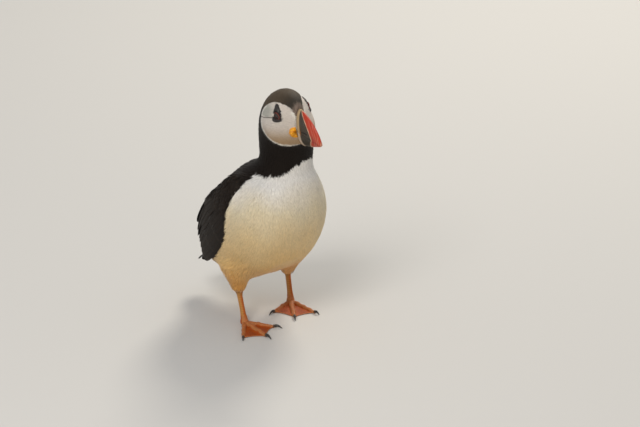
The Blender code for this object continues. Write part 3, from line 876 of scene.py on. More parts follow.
class Roots:
    """Places on the skin that feathers grow from, and where each feather's tip comes to."""

    def __init__(self, face, weights, points):
        corner = SKIN.triangles[face]

        def at_root(values):
            return np.einsum("nk,nk...->n...", weights, values[corner])

        self.points = points
        self.normals = normalised(at_root(SKIN.normals))
        self.place, self.rise = at_root(SKIN.place), at_root(SKIN.rise)
        self.straight = at_root(SKIN.straight)
        self.region = SKIN.region[corner[:, 0]]
        self.uv = np.einsum("nk,nkj->nj", weights, SKIN.uv[face])
        self.lie = plumage_lie(self)

    def pick(self, mask):
        other = object.__new__(Roots)
        other.__dict__ = {k: v[mask] for k, v in self.__dict__.items()}
        return other

    def reach(self, length):
        """Lays feathers of these lengths along the skin, and reads the marking at their tips."""
        self.length = np.broadcast_to(np.asarray(length, float), len(self.points))
        goal = self.points + self.lie * self.length[:, None] * STRETCH
        found = [SKIN.tree.find_nearest(Vector(p)) for p in goal]
        self.end = np.array([f[0] for f in found])
        self.end_normal = normalised(np.array([f[1] for f in found]) + 0.6 * self.normals)
        step = self.end - self.points
        step -= self.end_normal * np.sum(step * self.end_normal, axis=1, keepdims=True)
        self.end_lie = normalised(step + 1e-6 * self.lie)
        shown = self.points + (self.end - self.points) * SHOWN
        place, _, straight = body_coordinates(shown)
        self.colour, self.black, _ = markings(shown, self.region, place, straight)
        return self


def wing_lie(points, side):
    """The wing's own direction, from its wrist to its tips, at the nearest place along it."""
    rows = np.array(WING_STATIONS, float)[:, :3] * (1, side, 1)
    fine = np.linspace(0, len(rows) - 1, 60)
    line = np.column_stack([np.interp(fine, np.arange(len(rows)), c) for c in rows.T])
    nearest = np.linalg.norm(points[:, None] - line[None], axis=2).argmin(1)
    step = np.gradient(line, axis=0)
    return normalised(step[nearest]), fine[nearest] / (len(rows) - 1)


def plumage_lie(roots):
    """The direction that feathers point in, laid into the skin's own surface."""
    lie = body_lie(roots.place, roots.rise)
    from_bill = normalised(roots.straight - BILL_ROOT)
    from_bill[:, 2] -= SPREAD_FALL
    head = smoothstep(roots.place, 9.2, 11.0)
    lie = np.einsum("nij,nj->ni", head_turn(turn_weight(roots.place)), mixed(lie, from_bill, head))
    for number, side in WING_REGIONS:
        along, _ = wing_lie(roots.points, side)
        lie[roots.region == number] = along[roots.region == number]
    thigh = roots.region >= THIGH_REGION
    lie[thigh] = THIGH_KEEP * lie[thigh] + THIGH_LIE
    lie += LIE_NOISE * RNG.normal(0, 1, lie.shape)
    lie[:, 1] += LIE_NOISE * 1.5 * ripple(roots.points, 14, 21)
    return flattened(lie, roots.normals)


# ------------------------------------------------------------------ feathers
UV_PATCH = 0.003


class Vane:
    """A feather's template: rows along it, columns across, closed by a back face."""

    def __init__(self, along, widths, across):
        self.along, widths = np.append(along, 1.0), np.asarray(widths, float)
        rows, columns = len(along), len(across)
        self.row = np.append(np.repeat(np.arange(rows), columns), rows)
        self.t = np.append(np.repeat(along, columns), 1.0)
        self.x = np.append(np.tile(across, rows), 0.0)
        self.w = np.append(np.repeat(widths, columns), 0.0)
        tip = rows * columns
        last = tip - columns
        under = [(r * columns, (r + 1) * columns, (r + 1) * columns + columns - 1,
                  r * columns + columns - 1) for r in range(rows - 1)]
        ends = [(last + c, last + c + 1, tip) for c in range(columns - 1)]
        ends.append((last + columns - 1, last, tip))
        ends += [(0, c + 1, c) for c in range(1, columns - 1)]
        self.quads = np.concatenate([grid_faces(rows, columns), np.array(under)])
        self.triangles = np.array(ends)
        self.count = 2 * len(self.quads) + len(self.triangles)


TUFT = Vane((0, 0.36, 0.72), (0.62, 1.0, 0.80), (-1, 0, 1))
SCALE = Vane((0, 0.3, 0.58, 0.8, 0.93), (0.5, 0.92, 1.0, 0.86, 0.55), (-1, -0.5, 0, 0.5, 1))
QUILL = Vane((0, 0.03, 0.08, 0.15, 0.24, 0.34, 0.45, 0.56, 0.66, 0.75, 0.83, 0.89, 0.94, 0.975),
             (0.25, 0.42, 0.62, 0.80, 0.92, 0.98, 1.0, 1.0, 0.99, 0.96, 0.88, 0.76, 0.60, 0.38),
             (-1, -0.75, -0.42, -0.12, -0.045, 0.045, 0.12, 0.42, 0.75, 1))
PIECE_LIMIT = 150_000
SOFT_NORMAL = 0.78


def grow(name, template, roots, width, low, high, camber, look, edge=0.0):
    """Many like feathers, each along the skin from its root to its tip, in pieces of fair size."""
    count = len(roots.points)
    parts = math.ceil(count * template.count / PIECE_LIMIT)
    values = [np.broadcast_to(v, count) for v in (width, low, high)]
    order = np.argsort(roots.points[:, 1] * 0.8 + roots.points[:, 2], kind="stable")
    for number, chosen in enumerate(np.array_split(order, parts), 1):
        sized = [v[chosen] for v in values]
        grow_piece(f"{name}_{number}", template, roots.pick(chosen), sized, camber, look, edge)


def along_skin(template, roots):
    """For each feather and template point: centre line, outward normal and sideways direction."""
    t = template.t[None, :, None]
    length = roots.length[:, None, None]
    start, ahead, finish, behind = hermite(t)
    centre = (start * roots.points[:, None] + ahead * length * roots.lie[:, None]
              + finish * roots.end[:, None] + behind * length * roots.end_lie[:, None])
    normal = normalised((1 - t) * roots.normals[:, None] + t * roots.end_normal[:, None])
    side = normalised(np.cross((1 - t) * roots.lie[:, None] + t * roots.end_lie[:, None], normal))
    return centre, normal, side


def grow_piece(name, template, roots, sized, camber, look, edge):
    width, low, high = (v[:, None, None] for v in sized)
    count, n = len(roots.points), len(template.t)
    t, x = template.t[None, :, None], template.x[None, :, None]
    centre, normal, side = along_skin(template, roots)
    half = template.w[None, :, None] * x * width / 2
    lift = low + (high - low) * t**0.8
    arch = camber * width * (1 - x**2) * (0.35 + 0.65 * (1 - t))
    points = centre + side * half + normal * (lift + arch)
    tone = 1 + 0.05 * RNG.normal(0, 1, (count, 1, 1))
    colour = roots.colour[:, None] * tone * np.ones((1, n, 1))
    if edge:
        rim = edge * t**3 * RNG.random((count, 1, 1))
        colour = colour * (1 - rim) + np.array(BACK_EDGE) * rim
    along = t[..., 0] * roots.length[:, None]
    outward = normal + side * x * 0.35
    half = half[..., 0]
    add_vanes(name, template, points, outward, half, along, colour, roots.uv, UV_PATCH, look)


def add_vanes(name, template, points, outward, half, along, colour, uv, patch, look, *nodes):
    """One piece from the points of many vanes, with their colours, barbs, normals and bake map."""
    count, n = points.shape[:2]
    start = (np.arange(count) * n)[:, None, None]
    obj = new_object(name, points.reshape(-1, 3), (template.quads + start).reshape(-1, 4),
                     (template.triangles + start).reshape(-1, 3))
    paint(obj, np.clip(colour, 0, 1).reshape(-1, 3))
    chance = RNG.random((count, 1)) * 40 * np.ones((1, n))
    note(obj, "vane", np.stack([half, along, chance], 2).reshape(-1, 3))
    flat = np.column_stack([template.x * 0.4, template.t * 0.8 - 0.4 + 0.05 * (1 - template.x**2)])
    uv = np.clip(uv, patch, 1 - patch)[:, None] + flat[None] * patch
    write_uv(obj, uv.reshape(-1, 2))
    soften(obj, outward.reshape(-1, 3))
    finish_piece(obj, look, *nodes)


def soften(obj, outward):
    """Shades thin feathers mostly by the surface they lie on, so that they merge into a coat."""
    own = np.empty(len(obj.data.vertices) * 3)
    obj.data.vertices.foreach_get("normal", own)
    facing = normalised(np.column_stack([outward[:, 1], -outward[:, 0], outward[:, 2]]))
    shaded = normalised(SOFT_NORMAL * facing + (1 - SOFT_NORMAL) * own.reshape(-1, 3))
    obj.data.normals_split_custom_set_from_vertices(shaded.tolist())


def write_uv(obj, uv):
    layer = obj.data.uv_layers.new(name=BAKE_MAP)
    corners = np.empty(len(obj.data.loops), np.int32)
    obj.data.loops.foreach_get("vertex_index", corners)
    layer.data.foreach_set("uv", uv[corners].astype(np.float32).ravel())


BODY_SPACING, FACE_SPACING, BACK_SPACING, WING_SPACING = 0.70, 0.50, 2.1, 1.7
MANTLE_END, MANTLE_MARGIN = 8.0, 12  # its last station, and how far behind the black's front
WING_MARGIN, WING_SHOULDER = 2.5, 0.2  # the same for the wing, past this share of its length
TUFT_LENGTH, TUFT_WIDTH, TUFT_RISE = 7.0, 1.30, 2.25
FACE_LENGTH, FACE_WIDTH, FACE_RISE = 2.4, 0.76, 0.75
MANTLE_LENGTH, MANTLE_WIDTH, MANTLE_RISE = 10.0, 3.3, 1.15
WING_LENGTH, WING_WIDTH, WING_RISE = 6.5, 3.2, 1.2


def make_plumage():
    """Covers the skin: fine tufts on breast, neck and face, broader vanes on back and wings."""
    _, black, face = markings(SKIN.points, SKIN.region, SKIN.place, SKIN.straight)
    wings = np.isin(SKIN.region, [number for number, _ in WING_REGIONS]) & (black > 0.5)
    disc = (face > 0.0) & ~wings
    mantle = (black > 0.5) & (SKIN.place <= MANTLE_END) & ~wings
    mantle &= behind_front(SKIN.points) > MANTLE_MARGIN
    body = ~wings & ~disc & ~mantle
    coarse = 1.0
    make_body_coat(Roots(*scatter(covered(body), BODY_SPACING * coarse)))
    make_face_coat(Roots(*scatter(covered(disc), FACE_SPACING * coarse)))
    make_back_coat(Roots(*scatter(covered(mantle), BACK_SPACING)))
    make_wing_coat(Roots(*scatter(covered(wings), WING_SPACING)))


def covered(vertices):
    """Triangles of the skin whose first corner is among the marked vertices."""
    return vertices[SKIN.triangles[:, 0]]


def make_body_coat(roots):
    head = smoothstep(roots.place, 9.6, 11.5)
    neck = smoothstep(roots.place, 7.0, 8.2)
    low = smoothstep(60 - roots.points[:, 2], 0, 30)
    count = len(head)
    flank = smoothstep(roots.points[:, 2], 44, 52) * (1 - smoothstep(roots.points[:, 2], 62, 74))
    flank = flank * (1 - smoothstep(nearest(roots.points[:, :2], *KNEES), 20, 30))
    length = TUFT_LENGTH + 2.0 * low - 1.8 * neck - 2.4 * head + RNG.uniform(-0.8, 0.8, count)
    roots.reach(length + flank * RNG.uniform(1, 6, count))
    width = TUFT_WIDTH - 0.12 * neck - 0.34 * head
    high = TUFT_RISE - 0.55 * neck - 0.75 * head + RNG.uniform(-0.12, 0.12, count)
    high = high + (flank + 0.5 * (roots.region >= THIGH_REGION)) * RNG.uniform(-0.6, 0.8, count)
    black = roots.black > 0.5
    for name, chosen, look in (("coat_white", ~black, "white"), ("coat_dark", black, "black")):
        grow(name, TUFT, roots.pick(chosen), width[chosen], -0.2, high[chosen], 0.16, look)


def clear_of_eye(roots):
    """True for feathers clear of eye, lids and plates that don't run into the eye's patch."""
    clear, patch = True, []
    for spots in (roots.points, roots.end):
        straight = unturned(spots)
        flat = side_view(straight)
        clear &= from_eye(straight) > APERTURE + LID_WIDTH
        for outline, _ in (UPPER_PLATE, LOWER_PLATE):
            clear &= outline_distance(flat, outline) < -0.1
        patch.append(outline_distance(flat, EYE_PATCH))
    return clear & ((patch[0] > 0) | (patch[1] < 0.3))


def make_face_coat(roots):
    roots.reach(FACE_LENGTH)
    roots = roots.pick(clear_of_eye(roots))
    grow("coat_face", TUFT, roots, FACE_WIDTH, -0.1, FACE_RISE, 0.12, "face")


def make_back_coat(roots):
    size = smoothstep(np.abs(roots.points[:, 1]), 4, 26) * smoothstep(roots.points[:, 2], 60, 80)
    roots.reach(MANTLE_LENGTH + 4 * size)
    high = MANTLE_RISE + RNG.uniform(-0.25, 0.25, len(size))
    grow("coat_back", SCALE, roots, MANTLE_WIDTH + 1.5 * size, -0.2, high, 0.07, "black", edge=0.3)


def make_wing_coat(roots):
    place, angle = np.zeros(len(roots.points)), np.zeros(len(roots.points))
    for number, side in WING_REGIONS:
        here, (_, along) = roots.region == number, wing_lie(roots.points, side)
        place = np.where(here, along, place)
        angle = np.where(here, wing_angle(roots.points, along, side), angle)
    behind = behind_front(roots.points)
    first, last = COVERTS_ANGLES
    free = (place < COVERTS_START) | (angle < first) | (angle > last)
    free &= (behind > WING_MARGIN) | (place < WING_SHOULDER)
    roots, size = roots.pick(free), smoothstep(place[free], 0.0, 0.5)
    roots.reach(WING_LENGTH * (1 + size) * (0.45 + 0.55 * smoothstep(behind[free], 0, 9)))
    roots.colour = np.where(roots.black[:, None] < 0.5, BACK, roots.colour)
    grow("coat_wings", SCALE, roots, WING_WIDTH + 2.4 * size, -0.1, WING_RISE, 0.07, "black",
         edge=0.3)


# ------------------------------------------------------------------ large feathers
COVERTS_START, COVERTS_ANGLES = 0.34, (12, 172)
WING_FEATHERS = [  # name, count, angles, first and last root, first and last tip, width, lifts
    ("primaries_inner", 5, (-150, -30), (0.60, 0.60), (0.84, 0.95), 8.0, (-1.9, -1.2)),
    ("primaries", 9, (24, 140), (0.56, 0.56), (1.0, 0.72), 8.0, (-1.9, -0.9)),
    ("secondaries", 11, (27, 164), (0.42, 0.42), (0.76, 0.64), 9.5, (-1.6, 0.0)),
    ("tertials", 3, (128, 166), (0.36, 0.34), (0.73, 0.64), 12.5, (-1.0, 0.5)),
    ("greater_coverts", 13, (28, 168), (0.33, 0.31), (0.55, 0.50), 8.5, (-1.5, 0.3)),
    ("median_coverts", 14, (26, 170), (0.26, 0.24), (0.43, 0.38), 7.5, (-3.2, 0.3)),
]
WING_POWER = 0.9  # roundness of the wing's section: 1 is an ellipse
QUILL_PATCH = 0.02
SHAFT_HALF, SHAFT_FOOT, SHAFT_HEIGHT = 0.05, 0.13, 0.20


def wing_frame(places):
    """At places along the folded wing: its station, and the directions across it and outwards."""
    row = smooth_rows(WING_STATIONS, places)
    step = smooth_rows(WING_STATIONS, places + 0.01) - smooth_rows(WING_STATIONS, places - 0.01)
    tangent = normalised(step[:, :3] * (1, 0, 1))
    dorsal = normalised(np.cross([0, 1.0, 0], tangent))
    dorsal *= np.sign(dorsal[:, 2:3])
    outward = swung(np.radians(row[:, 5]), np.array([0, 1.0, 0]), dorsal)
    return row, normalised(np.cross(tangent, outward)), outward


def wing_surface(places, angles, side):
    """Points of the folded wing's surface and their normals, by place along and angle round."""
    row, across, outward = wing_frame(places.ravel())
    c, s = np.cos(angles.ravel())[:, None], np.sin(angles.ravel())[:, None]
    c, s = (np.sign(v) * np.abs(v) ** WING_POWER for v in (c, s))
    point = row[:, :3] + across * c * row[:, 3:4] / 2 + outward * s * row[:, 4:5] / 2
    normal = normalised(across * c / row[:, 3:4] + outward * s / row[:, 4:5])
    return ((v * (1, side, 1)).reshape(*places.shape, 3) for v in (point, normal))


def wing_angle(points, places, side):
    """How far round the wing each point lies, in degrees: 0 at its front edge, 90 outwards."""
    row, across, outward = wing_frame(places)
    away = points * (1, side, 1) - row[:, :3]
    x, y = np.sum(away * across, axis=1) / row[:, 3], np.sum(away * outward, axis=1) / row[:, 4]
    return np.degrees(np.arctan2(y, x))


def add_quills(name, spine, normal, width, tilt, colour, pale, look, *nodes):
    """Large feathers, each with its shaft, along given lines: (feather, row, 3)."""
    count, row = len(spine), QUILL.row
    beside = np.abs(QUILL.x)
    shaft_side = np.sign(QUILL.x) * (beside < SHAFT_FOOT) * (beside > SHAFT_HALF)
    x, t = QUILL.x[None, :, None], QUILL.t[None, :, None]
    tangent = normalised(np.gradient(spine, axis=1))
    side = normalised(np.cross(tangent, normal))[:, row]
    half = QUILL.w[None, :, None] * x * width / 2 * np.ones((count, 1, 1))
    shaft = SHAFT_HEIGHT * (np.abs(x) < SHAFT_HALF) * (1 - 0.7 * t)
    arch = 0.075 * width * (1 - x**2) * QUILL.w[None, :, None]
    points = spine[:, row] + side * half + normal[:, row] * (arch + shaft + tilt * x)
    tone = 1 + 0.07 * RNG.normal(0, 1, (count, 1, 1))
    rim = pale * np.maximum(smoothstep(np.abs(x), 0.75, 1.0) * 0.8, smoothstep(t, 0.90, 1.0))
    rim = rim * (0.4 + 0.6 * RNG.random((count, 1, 1))) * smoothstep(t, 0.2, 0.6)
    tint = np.asarray(colour) * tone * (1 - rim) + np.array(BACK_EDGE) * rim
    found = [SKIN.tree.find_nearest(Vector(p))[2] for p in spine[:, 0]]
    uv = SKIN.uv[found].mean(1)
    along = QUILL.t[None] * np.linalg.norm(spine[:, -1] - spine[:, 0], axis=1)[:, None]
    outward = normal[:, row] + side * (x * 0.30 + 0.5 * shaft_side[None, :, None])
    half = half[..., 0]
    add_vanes(name, QUILL, points, outward, half, along, tint, uv, QUILL_PATCH, look, *nodes)


def make_wing_feathers(word, side):
    t = QUILL.along[None]
    for name, count, angles, roots, tips, width, lifts in WING_FEATHERS:
        k = np.linspace(0, 1, count)[:, None]
        root = roots[0] + (roots[1] - roots[0]) * k
        tip = tips[0] + (tips[1] - tips[0]) * k + 0.006 * RNG.uniform(-1, 1, (count, 1))
        angle = np.radians(angles[0] + (angles[1] - angles[0]) * k) * np.ones_like(t)
        angle = angle + np.radians(3) * RNG.uniform(-1, 1, (count, 1)) * t
        point, normal = wing_surface(root + (tip - root) * t, angle, side)
        low, high = lifts
        spine = point + normal * (low + (high - low) * t**0.8)[..., None]
        nodes = (f"primaries_{word}",) if name == "primaries" else ()
        add_quills(f"wing_{name}_{word}", spine, normal, width, 0.55 * side, BACK, 0.55, "flight",
                   *nodes)


RECTRICES = 16
TAIL_COVERTS = [  # name, count, first place, last place, half widths, lifts, above or below
    ("upper_long", 9, 0.02, 0.60, (9, 14), (3.6, 0.9), 1),
    ("upper_short", 8, -0.10, 0.36, (8, 12), (5.4, 2.8), 1),
    ("under_long", 8, -0.10, 0.60, (5, 8), (2.6, 1.2), -1),
    ("under_short", 8, -0.30, 0.36, (4.5, 7), (4.6, 3.0), -1),
]


def tail_lines(count, first, last, halves, lifts, face):
    """Centre lines of tail feathers fanned out from first to last, 0 to 1 along the tail."""
    k = np.linspace(-1, 1, count)[:, None]
    t = QUILL.along[None]
    reach = last - first
    place = first + reach * (1 - 0.26 * np.abs(k) ** 2.5) * t
    along = normalised(TAIL_TIP - TAIL_BASE)
    up = np.cross([0, 1.0, 0], along) * face
    low, high = lifts
    lift = low + (high - low) * t**0.7 - 4.2 * np.abs(k) ** 1.3 * (0.3 + 0.7 * t) + 0.1 * (k > 0)
    spine = TAIL_BASE + (TAIL_TIP - TAIL_BASE) * place[..., None] + up * lift[..., None]
    spine[..., 1] = k * (halves[0] + (halves[1] - halves[0]) * t)
    normal = up + 0.22 * k[..., None] * (0, 1, 0) * np.ones_like(spine)
    return spine, normalised(normal)


def make_tail():
    spine, normal = tail_lines(RECTRICES, 0.0, 1.0, (8, 14.5), (2.6, 1.6), 1)
    add_quills("tail_feathers", spine, normal, 6.2, 0.0, BACK, 0.5, "flight", "tail")
    for name, count, first, last, halves, lifts, face in TAIL_COVERTS:
        spine, normal = tail_lines(count, first, last, halves, lifts, face)
        dark = face > 0
        add_quills(f"tail_coverts_{name}", spine, normal, 7.0, 0.0,
                   BACK if dark else BREAST_WHITE, 0.5 * dark,
                   "black" if dark else "white")


make_plumage()
make_tail()
for side, word in SIDES:
    make_wing_feathers(word, side)

# ------------------------------------------------------------------ bill
SLATE = (0.031, 0.022, 0.012)
SLATE_LIGHT = (0.090, 0.075, 0.056)
BILL_RED = (0.47, 0.037, 0.009)
BILL_DEEP_RED = (0.33, 0.023, 0.007)
ROSETTE_YELLOW = (0.90, 0.40, 0.012)
ROSETTE_DEEP = (0.62, 0.17, 0.008)
ROSETTE_CENTRE, ROSETTE_RADII = (33.9, 176.9), (4.4, 5.0)
CREAM = (0.66, 0.50, 0.32)
CERE = (0.34, 0.235, 0.12)
CERE_LIGHT = (0.46, 0.33, 0.19)
RIDGE = (0.42, 0.18, 0.11)
GROOVES = (0.66, 0.78, 0.89)
GROOVE_WIDTH = 0.009
NOSTRIL_BLACK = (0.006, 0.006, 0.006)
LOWER_PLATE_SWELL = 0.05


def bill_grid(ridge, edge, slant, places, rise, swell):
    """Rings of a mandible: from the ridge down its right side, and back up its left side."""
    s, on_ridge, on_edge, bow = np.array(slant, float).T
    top = bezier(ridge, np.interp(places, s, on_ridge))
    low = bezier(edge, np.interp(places, s, on_edge))
    base = 1 - np.clip(places, 0, 1)
    half = BILL_TIP_HALF_WIDTH + (BILL_HALF_WIDTH - BILL_TIP_HALF_WIDTH) * base**0.85
    half = half[:, None] * (1 - (1 - rise[None]) ** 2.4) ** 0.62
    half = np.maximum(half + swell * np.minimum(1, rise[None] * 8), 0)
    line = top[:, None] + (low - top)[:, None] * rise[None, :, None]
    line[..., 0] += np.interp(places, s, bow)[:, None] * (4 * rise * (1 - rise))[None]
    out = normalised(top - low)[:, None] * (swell * (1 - rise[None]) ** 6)[..., None]
    line = line + out
    right = np.stack([line[..., 0], -half, line[..., 1]], 2)
    left = np.stack([line[..., 0], half, line[..., 1]], 2)[:, :0:-1]
    return np.concatenate([right, left], 1)


def closed_tube(rings):
    """(points, quads, triangles) of a tube through rings, each end closed by a fan."""
    rows, around = rings.shape[:2]
    points = np.concatenate([rings.reshape(-1, 3), rings[0].mean(0)[None], rings[-1].mean(0)[None]])
    j = np.arange(around)
    n = (j + 1) % around
    first, last = rows * around, rows * around + 1
    start = np.column_stack([n, j, np.full(around, first)])
    end = np.column_stack([(rows - 1) * around + j, (rows - 1) * around + n, np.full(around, last)])
    return points, grid_faces(rows, around, closed=True), np.concatenate([start, end])


def tube_object(name, rings, colours, look, *nodes):
    """A closed tube with one colour for each ring point; its fans take the end rings' colour."""
    points, quads, triangles = closed_tube(rings)
    obj = new_object(name, points, quads, triangles)
    flat = colours.reshape(-1, 3)
    paint(obj, np.concatenate([flat, colours[:1, 0], colours[-1:, 0]]))
    outwards(obj)
    return finish_piece(obj, look, *nodes)


def outwards(obj):
    bm = bmesh.new()
    bm.from_mesh(obj.data)
    bmesh.ops.recalc_face_normals(bm, faces=bm.faces)
    if bm.calc_volume(signed=True) < 0:
        bmesh.ops.reverse_faces(bm, faces=bm.faces)
    bm.to_mesh(obj.data)
    bm.free()
    obj.data.shade_smooth()


def bump_at(x, centre, width):
    return np.exp(-(((x - centre) / width) ** 2))


def nostril(p, t, width, ends):
    """1 in the slit low in the upper bill's plate, 0 away from it."""
    return bump_at(t, 0.90 - 0.25 * (p - 0.2), width) * smoothstep(0.10 - np.abs(p - 0.24), 0, ends)


def bill_swell(kind, p, t):
    """How far each part of the bill stands out from the plain loft, in millimetres."""
    if kind in ("cere", "chin"):
        pits = 0.10 * np.sin(t * 95) * np.sin(p * 260)
        return 0.05 + 0.45 * bump_at(p, 0.055, 0.03) + pits * bump_at(p, 0.05, 0.03)
    if kind == "ridge":
        return 0.15 + 0.38 * bump_at(p, 0.445, 0.022)
    if kind == "plate":
        waves = 0.05 * np.sin(p * 40 + 2 * t) - 0.75 * nostril(p, t, 0.022, 0.03)
        return waves - 0.10 * bump_at(p, 0.30, 0.03)
    return 0.08 - 0.38 * sum(bump_at(p, g, GROOVE_WIDTH) for g in GROOVES)


def bill_colours(kind, p, t):
    shape = np.broadcast(p, t).shape
    p, t = np.broadcast_to(p, shape).ravel(), np.broadcast_to(t, shape).ravel()
    if kind == "cere":
        colour = mixed(CERE, CERE_LIGHT, 0.5 + 0.5 * np.sin(t * 60) * np.sin(p * 200))
    elif kind == "chin":
        # the chin takes the lower face's painted warm shade
        colour = mixed(FACE_WARM_SHADE, FACE_GREY, 0.3 + 0.2 * np.sin(t * 60) * np.sin(p * 200))
    elif kind == "ridge":
        colour = mixed(RIDGE, CREAM, 0.25 + 0.2 * np.sin(t * 23))
    elif kind == "plate":
        colour = mixed(SLATE, SLATE_LIGHT, 0.55 * (1 - t) ** 2 + 0.25 * bump_at(p, 0.12, 0.03))
        corner = smoothstep(t, 0.80, 0.95) * smoothstep(0.16 - p, 0, 0.06)
        colour = mixed(colour, ROSETTE_DEEP, 0.6 * corner)
        colour = mixed(colour, NOSTRIL_BLACK, nostril(p, t, 0.026, 0.02))
    else:
        deep = smoothstep(t, 0.55, 1.0) * smoothstep(0.9 - p, 0, 0.3)
        colour = mixed(BILL_RED, BILL_DEEP_RED, deep)
        pale = sum(bump_at(p, g, GROOVE_WIDTH * 1.2) * w for g, w in zip(GROOVES, (0.45, 0.7, 0.8)))
        colour = mixed(colour, CREAM, np.clip(pale * smoothstep(t, 0.15, 0.75), 0, 1))
        colour = mixed(colour, CREAM, 0.5 * smoothstep(p, 0.955, 1.0))
    return colour.reshape(*shape, 3)


BILL_PARTS = [  # mandible, kind, first and last place, rings, solids that it replaces
    ("upper", "cere", -0.012, 0.112, 16, ("bill_upper_cere",)),
    ("upper", "plate", 0.098, 0.43, 46, ("bill_upper_plate",)),
    ("upper", "ridge", 0.418, 0.474, 12, ()),
    ("upper", "tip", 0.46, 0.992, 90, ("bill_upper_tip",)),
    ("lower", "chin", -0.012, 0.112, 16, ()),
    ("lower", "plate", 0.098, 0.43, 40, ("bill_lower_plate",)),
    ("lower", "ridge", 0.418, 0.474, 12, ()),
    ("lower", "tip", 0.46, 0.992, 80, ("bill_lower_tip",)),
]
BILL_LOOKS = {"cere": "cream", "chin": "chin", "plate": "slate", "ridge": "cream", "tip": "red"}


def make_bill():
    lower_edge = [(f, u - 0.35) for f, u in TOMIUM[:3]] + [(GONYS[3][0], GONYS[3][1] + 0.75)]
    lines = {"upper": (CULMEN, TOMIUM, UPPER_SLANT), "lower": (GONYS, lower_edge, LOWER_SLANT)}
    rise = (1 - np.cos(np.linspace(0, math.pi, 56))) / 2
    for mandible, kind, first, last, rings, nodes in BILL_PARTS:
        places = np.linspace(first, last, rings)
        p, t = places[:, None], rise[None]
        swell = bill_swell(kind, p, t) * np.ones((rings, len(rise)))
        if mandible == "lower" and kind == "plate":
            swell = np.full_like(swell, LOWER_PLATE_SWELL)
        made = bill_grid(*lines[mandible], places, rise, swell)
        colours = bill_colours(kind, p, t)
        colours = np.concatenate([colours, colours[:, :0:-1]], 1)
        made = turned(made.reshape(-1, 3)).reshape(made.shape)
        obj = tube_object(f"bill_{mandible}_{kind}_shape", made, colours, BILL_LOOKS[kind], *nodes)
        obj.data.set_sharp_from_angle(angle=math.radians(60))


make_bill()


# ------------------------------------------------------------------ eyes and bare skin of the face
EYEBALL, EYE_SINK = 5.6, 0.5
PUPIL, IRIS = 1.65, 3.0
PUPIL_BLACK = (0.003, 0.003, 0.003)
IRIS_BROWN = (0.060, 0.022, 0.010)
EYE_WHITE = (0.02, 0.012, 0.010)
LID_RED = (0.15, 0.020, 0.011)
LID_DARK = (0.045, 0.010, 0.008)
PLATE_SLATE = (0.017, 0.013, 0.012)
# The eye plates' lighter middle is a painted highlight.
PLATE_PAINTED_HIGHLIGHT = (0.050, 0.040, 0.036)


def eye_basis(side):
    """The eye's centre, and its axis with two directions across it, after the head's turn."""
    centre = turned([(EYE[0], side * (EYE[1] - EYE_SINK), EYE[2])])[0]
    turn = head_turn(1.0)
    axis = turn @ (EYE_AXIS * (1, side, 1))
    ahead = turn @ np.array((1.0, 0, 0))
    ahead = normalised(ahead - axis * (ahead @ axis))
    return centre, axis, ahead, np.cross(axis, ahead) * (1 if side < 0 else -1)


def make_eye(word, side):
    centre, axis, ahead, up = eye_basis(side)
    angle = np.linspace(0.02, math.pi - 0.02, 60)
    around = circle(72)
    off = EYEBALL * np.sin(angle)[:, None]
    bulge = 0.22 * bump_at(angle, 0, 0.42)[:, None]
    direction = swung(angle[:, None], axis, swung(around, ahead, up)[None])
    rings = centre + direction * (EYEBALL + bulge)[..., None]
    streak = 0.5 + 0.5 * np.sin(around * 37)[None] * np.sin(around * 11 + 1)[None]
    front = (angle < 1.5)[:, None]
    iris = smoothstep(off, PUPIL - 0.12, PUPIL + 0.12) * front
    white = np.where(front, smoothstep(off, IRIS + 0.1, IRIS + 0.5), 1.0)
    shape = np.broadcast(iris, streak).shape
    brown = mixed(np.array(IRIS_BROWN) * 0.5, IRIS_BROWN, np.broadcast_to(streak, shape).ravel())
    colour = mixed(PUPIL_BLACK, brown, np.broadcast_to(iris, shape).ravel())
    colour = mixed(colour, EYE_WHITE, np.broadcast_to(white, shape).ravel())
    tube_object(f"eyeball_{word}", rings, colour.reshape(*shape, 3), "eye", f"eye_{word}")


def make_eyelids(word, side):
    """The red ring round the eye: two lids of wrinkled bare skin that meet at the corners."""
    centre, axis, ahead, up = eye_basis(side)
    a, s = circle(144)[:, None], circle(20)[None]
    wrinkle = 1 + 0.10 * np.sin(a * 34) + 0.07 * np.sin(a * 15 + 2 * np.sin(s))
    corner = np.abs(np.cos(a)) ** 12
    ring = APERTURE * (1.10 - 0.05 * np.sin(a) ** 2) + 0.35 * corner
    thick = 0.58 * wrinkle * (1 - 0.25 * corner)
    reach = ring + thick * np.cos(s)
    depth = np.sqrt(EYEBALL**2 - ring**2) + 0.32 + thick * 0.75 * np.sin(s)
    rings = centre + axis * depth[..., None] + reach[..., None] * swung(a, ahead, up)
    shade = np.clip(0.5 - 0.5 * np.cos(s) * 1.2 + 0.15 * np.sin(a * 34), 0, 1) * np.ones_like(reach)
    colours = mixed(LID_RED, LID_DARK, shade.ravel()).reshape(*reach.shape, 3)
    obj = new_object(f"eyelids_{word}", rings.reshape(-1, 3), ring_faces(*reach.shape))
    paint(obj, colours.reshape(-1, 3))
    outwards(obj)
    finish_piece(obj, "lid")


def ring_faces(rows, columns):
    """Quads of a grid that closes on itself both ways."""
    r, c = np.arange(rows)[:, None], np.arange(columns)[None]
    rn, cn = (r + 1) % rows, (c + 1) % columns
    corners = [r * columns + c, r * columns + cn, rn * columns + cn, rn * columns + c]
    return np.stack([q.ravel() for q in corners], 1)


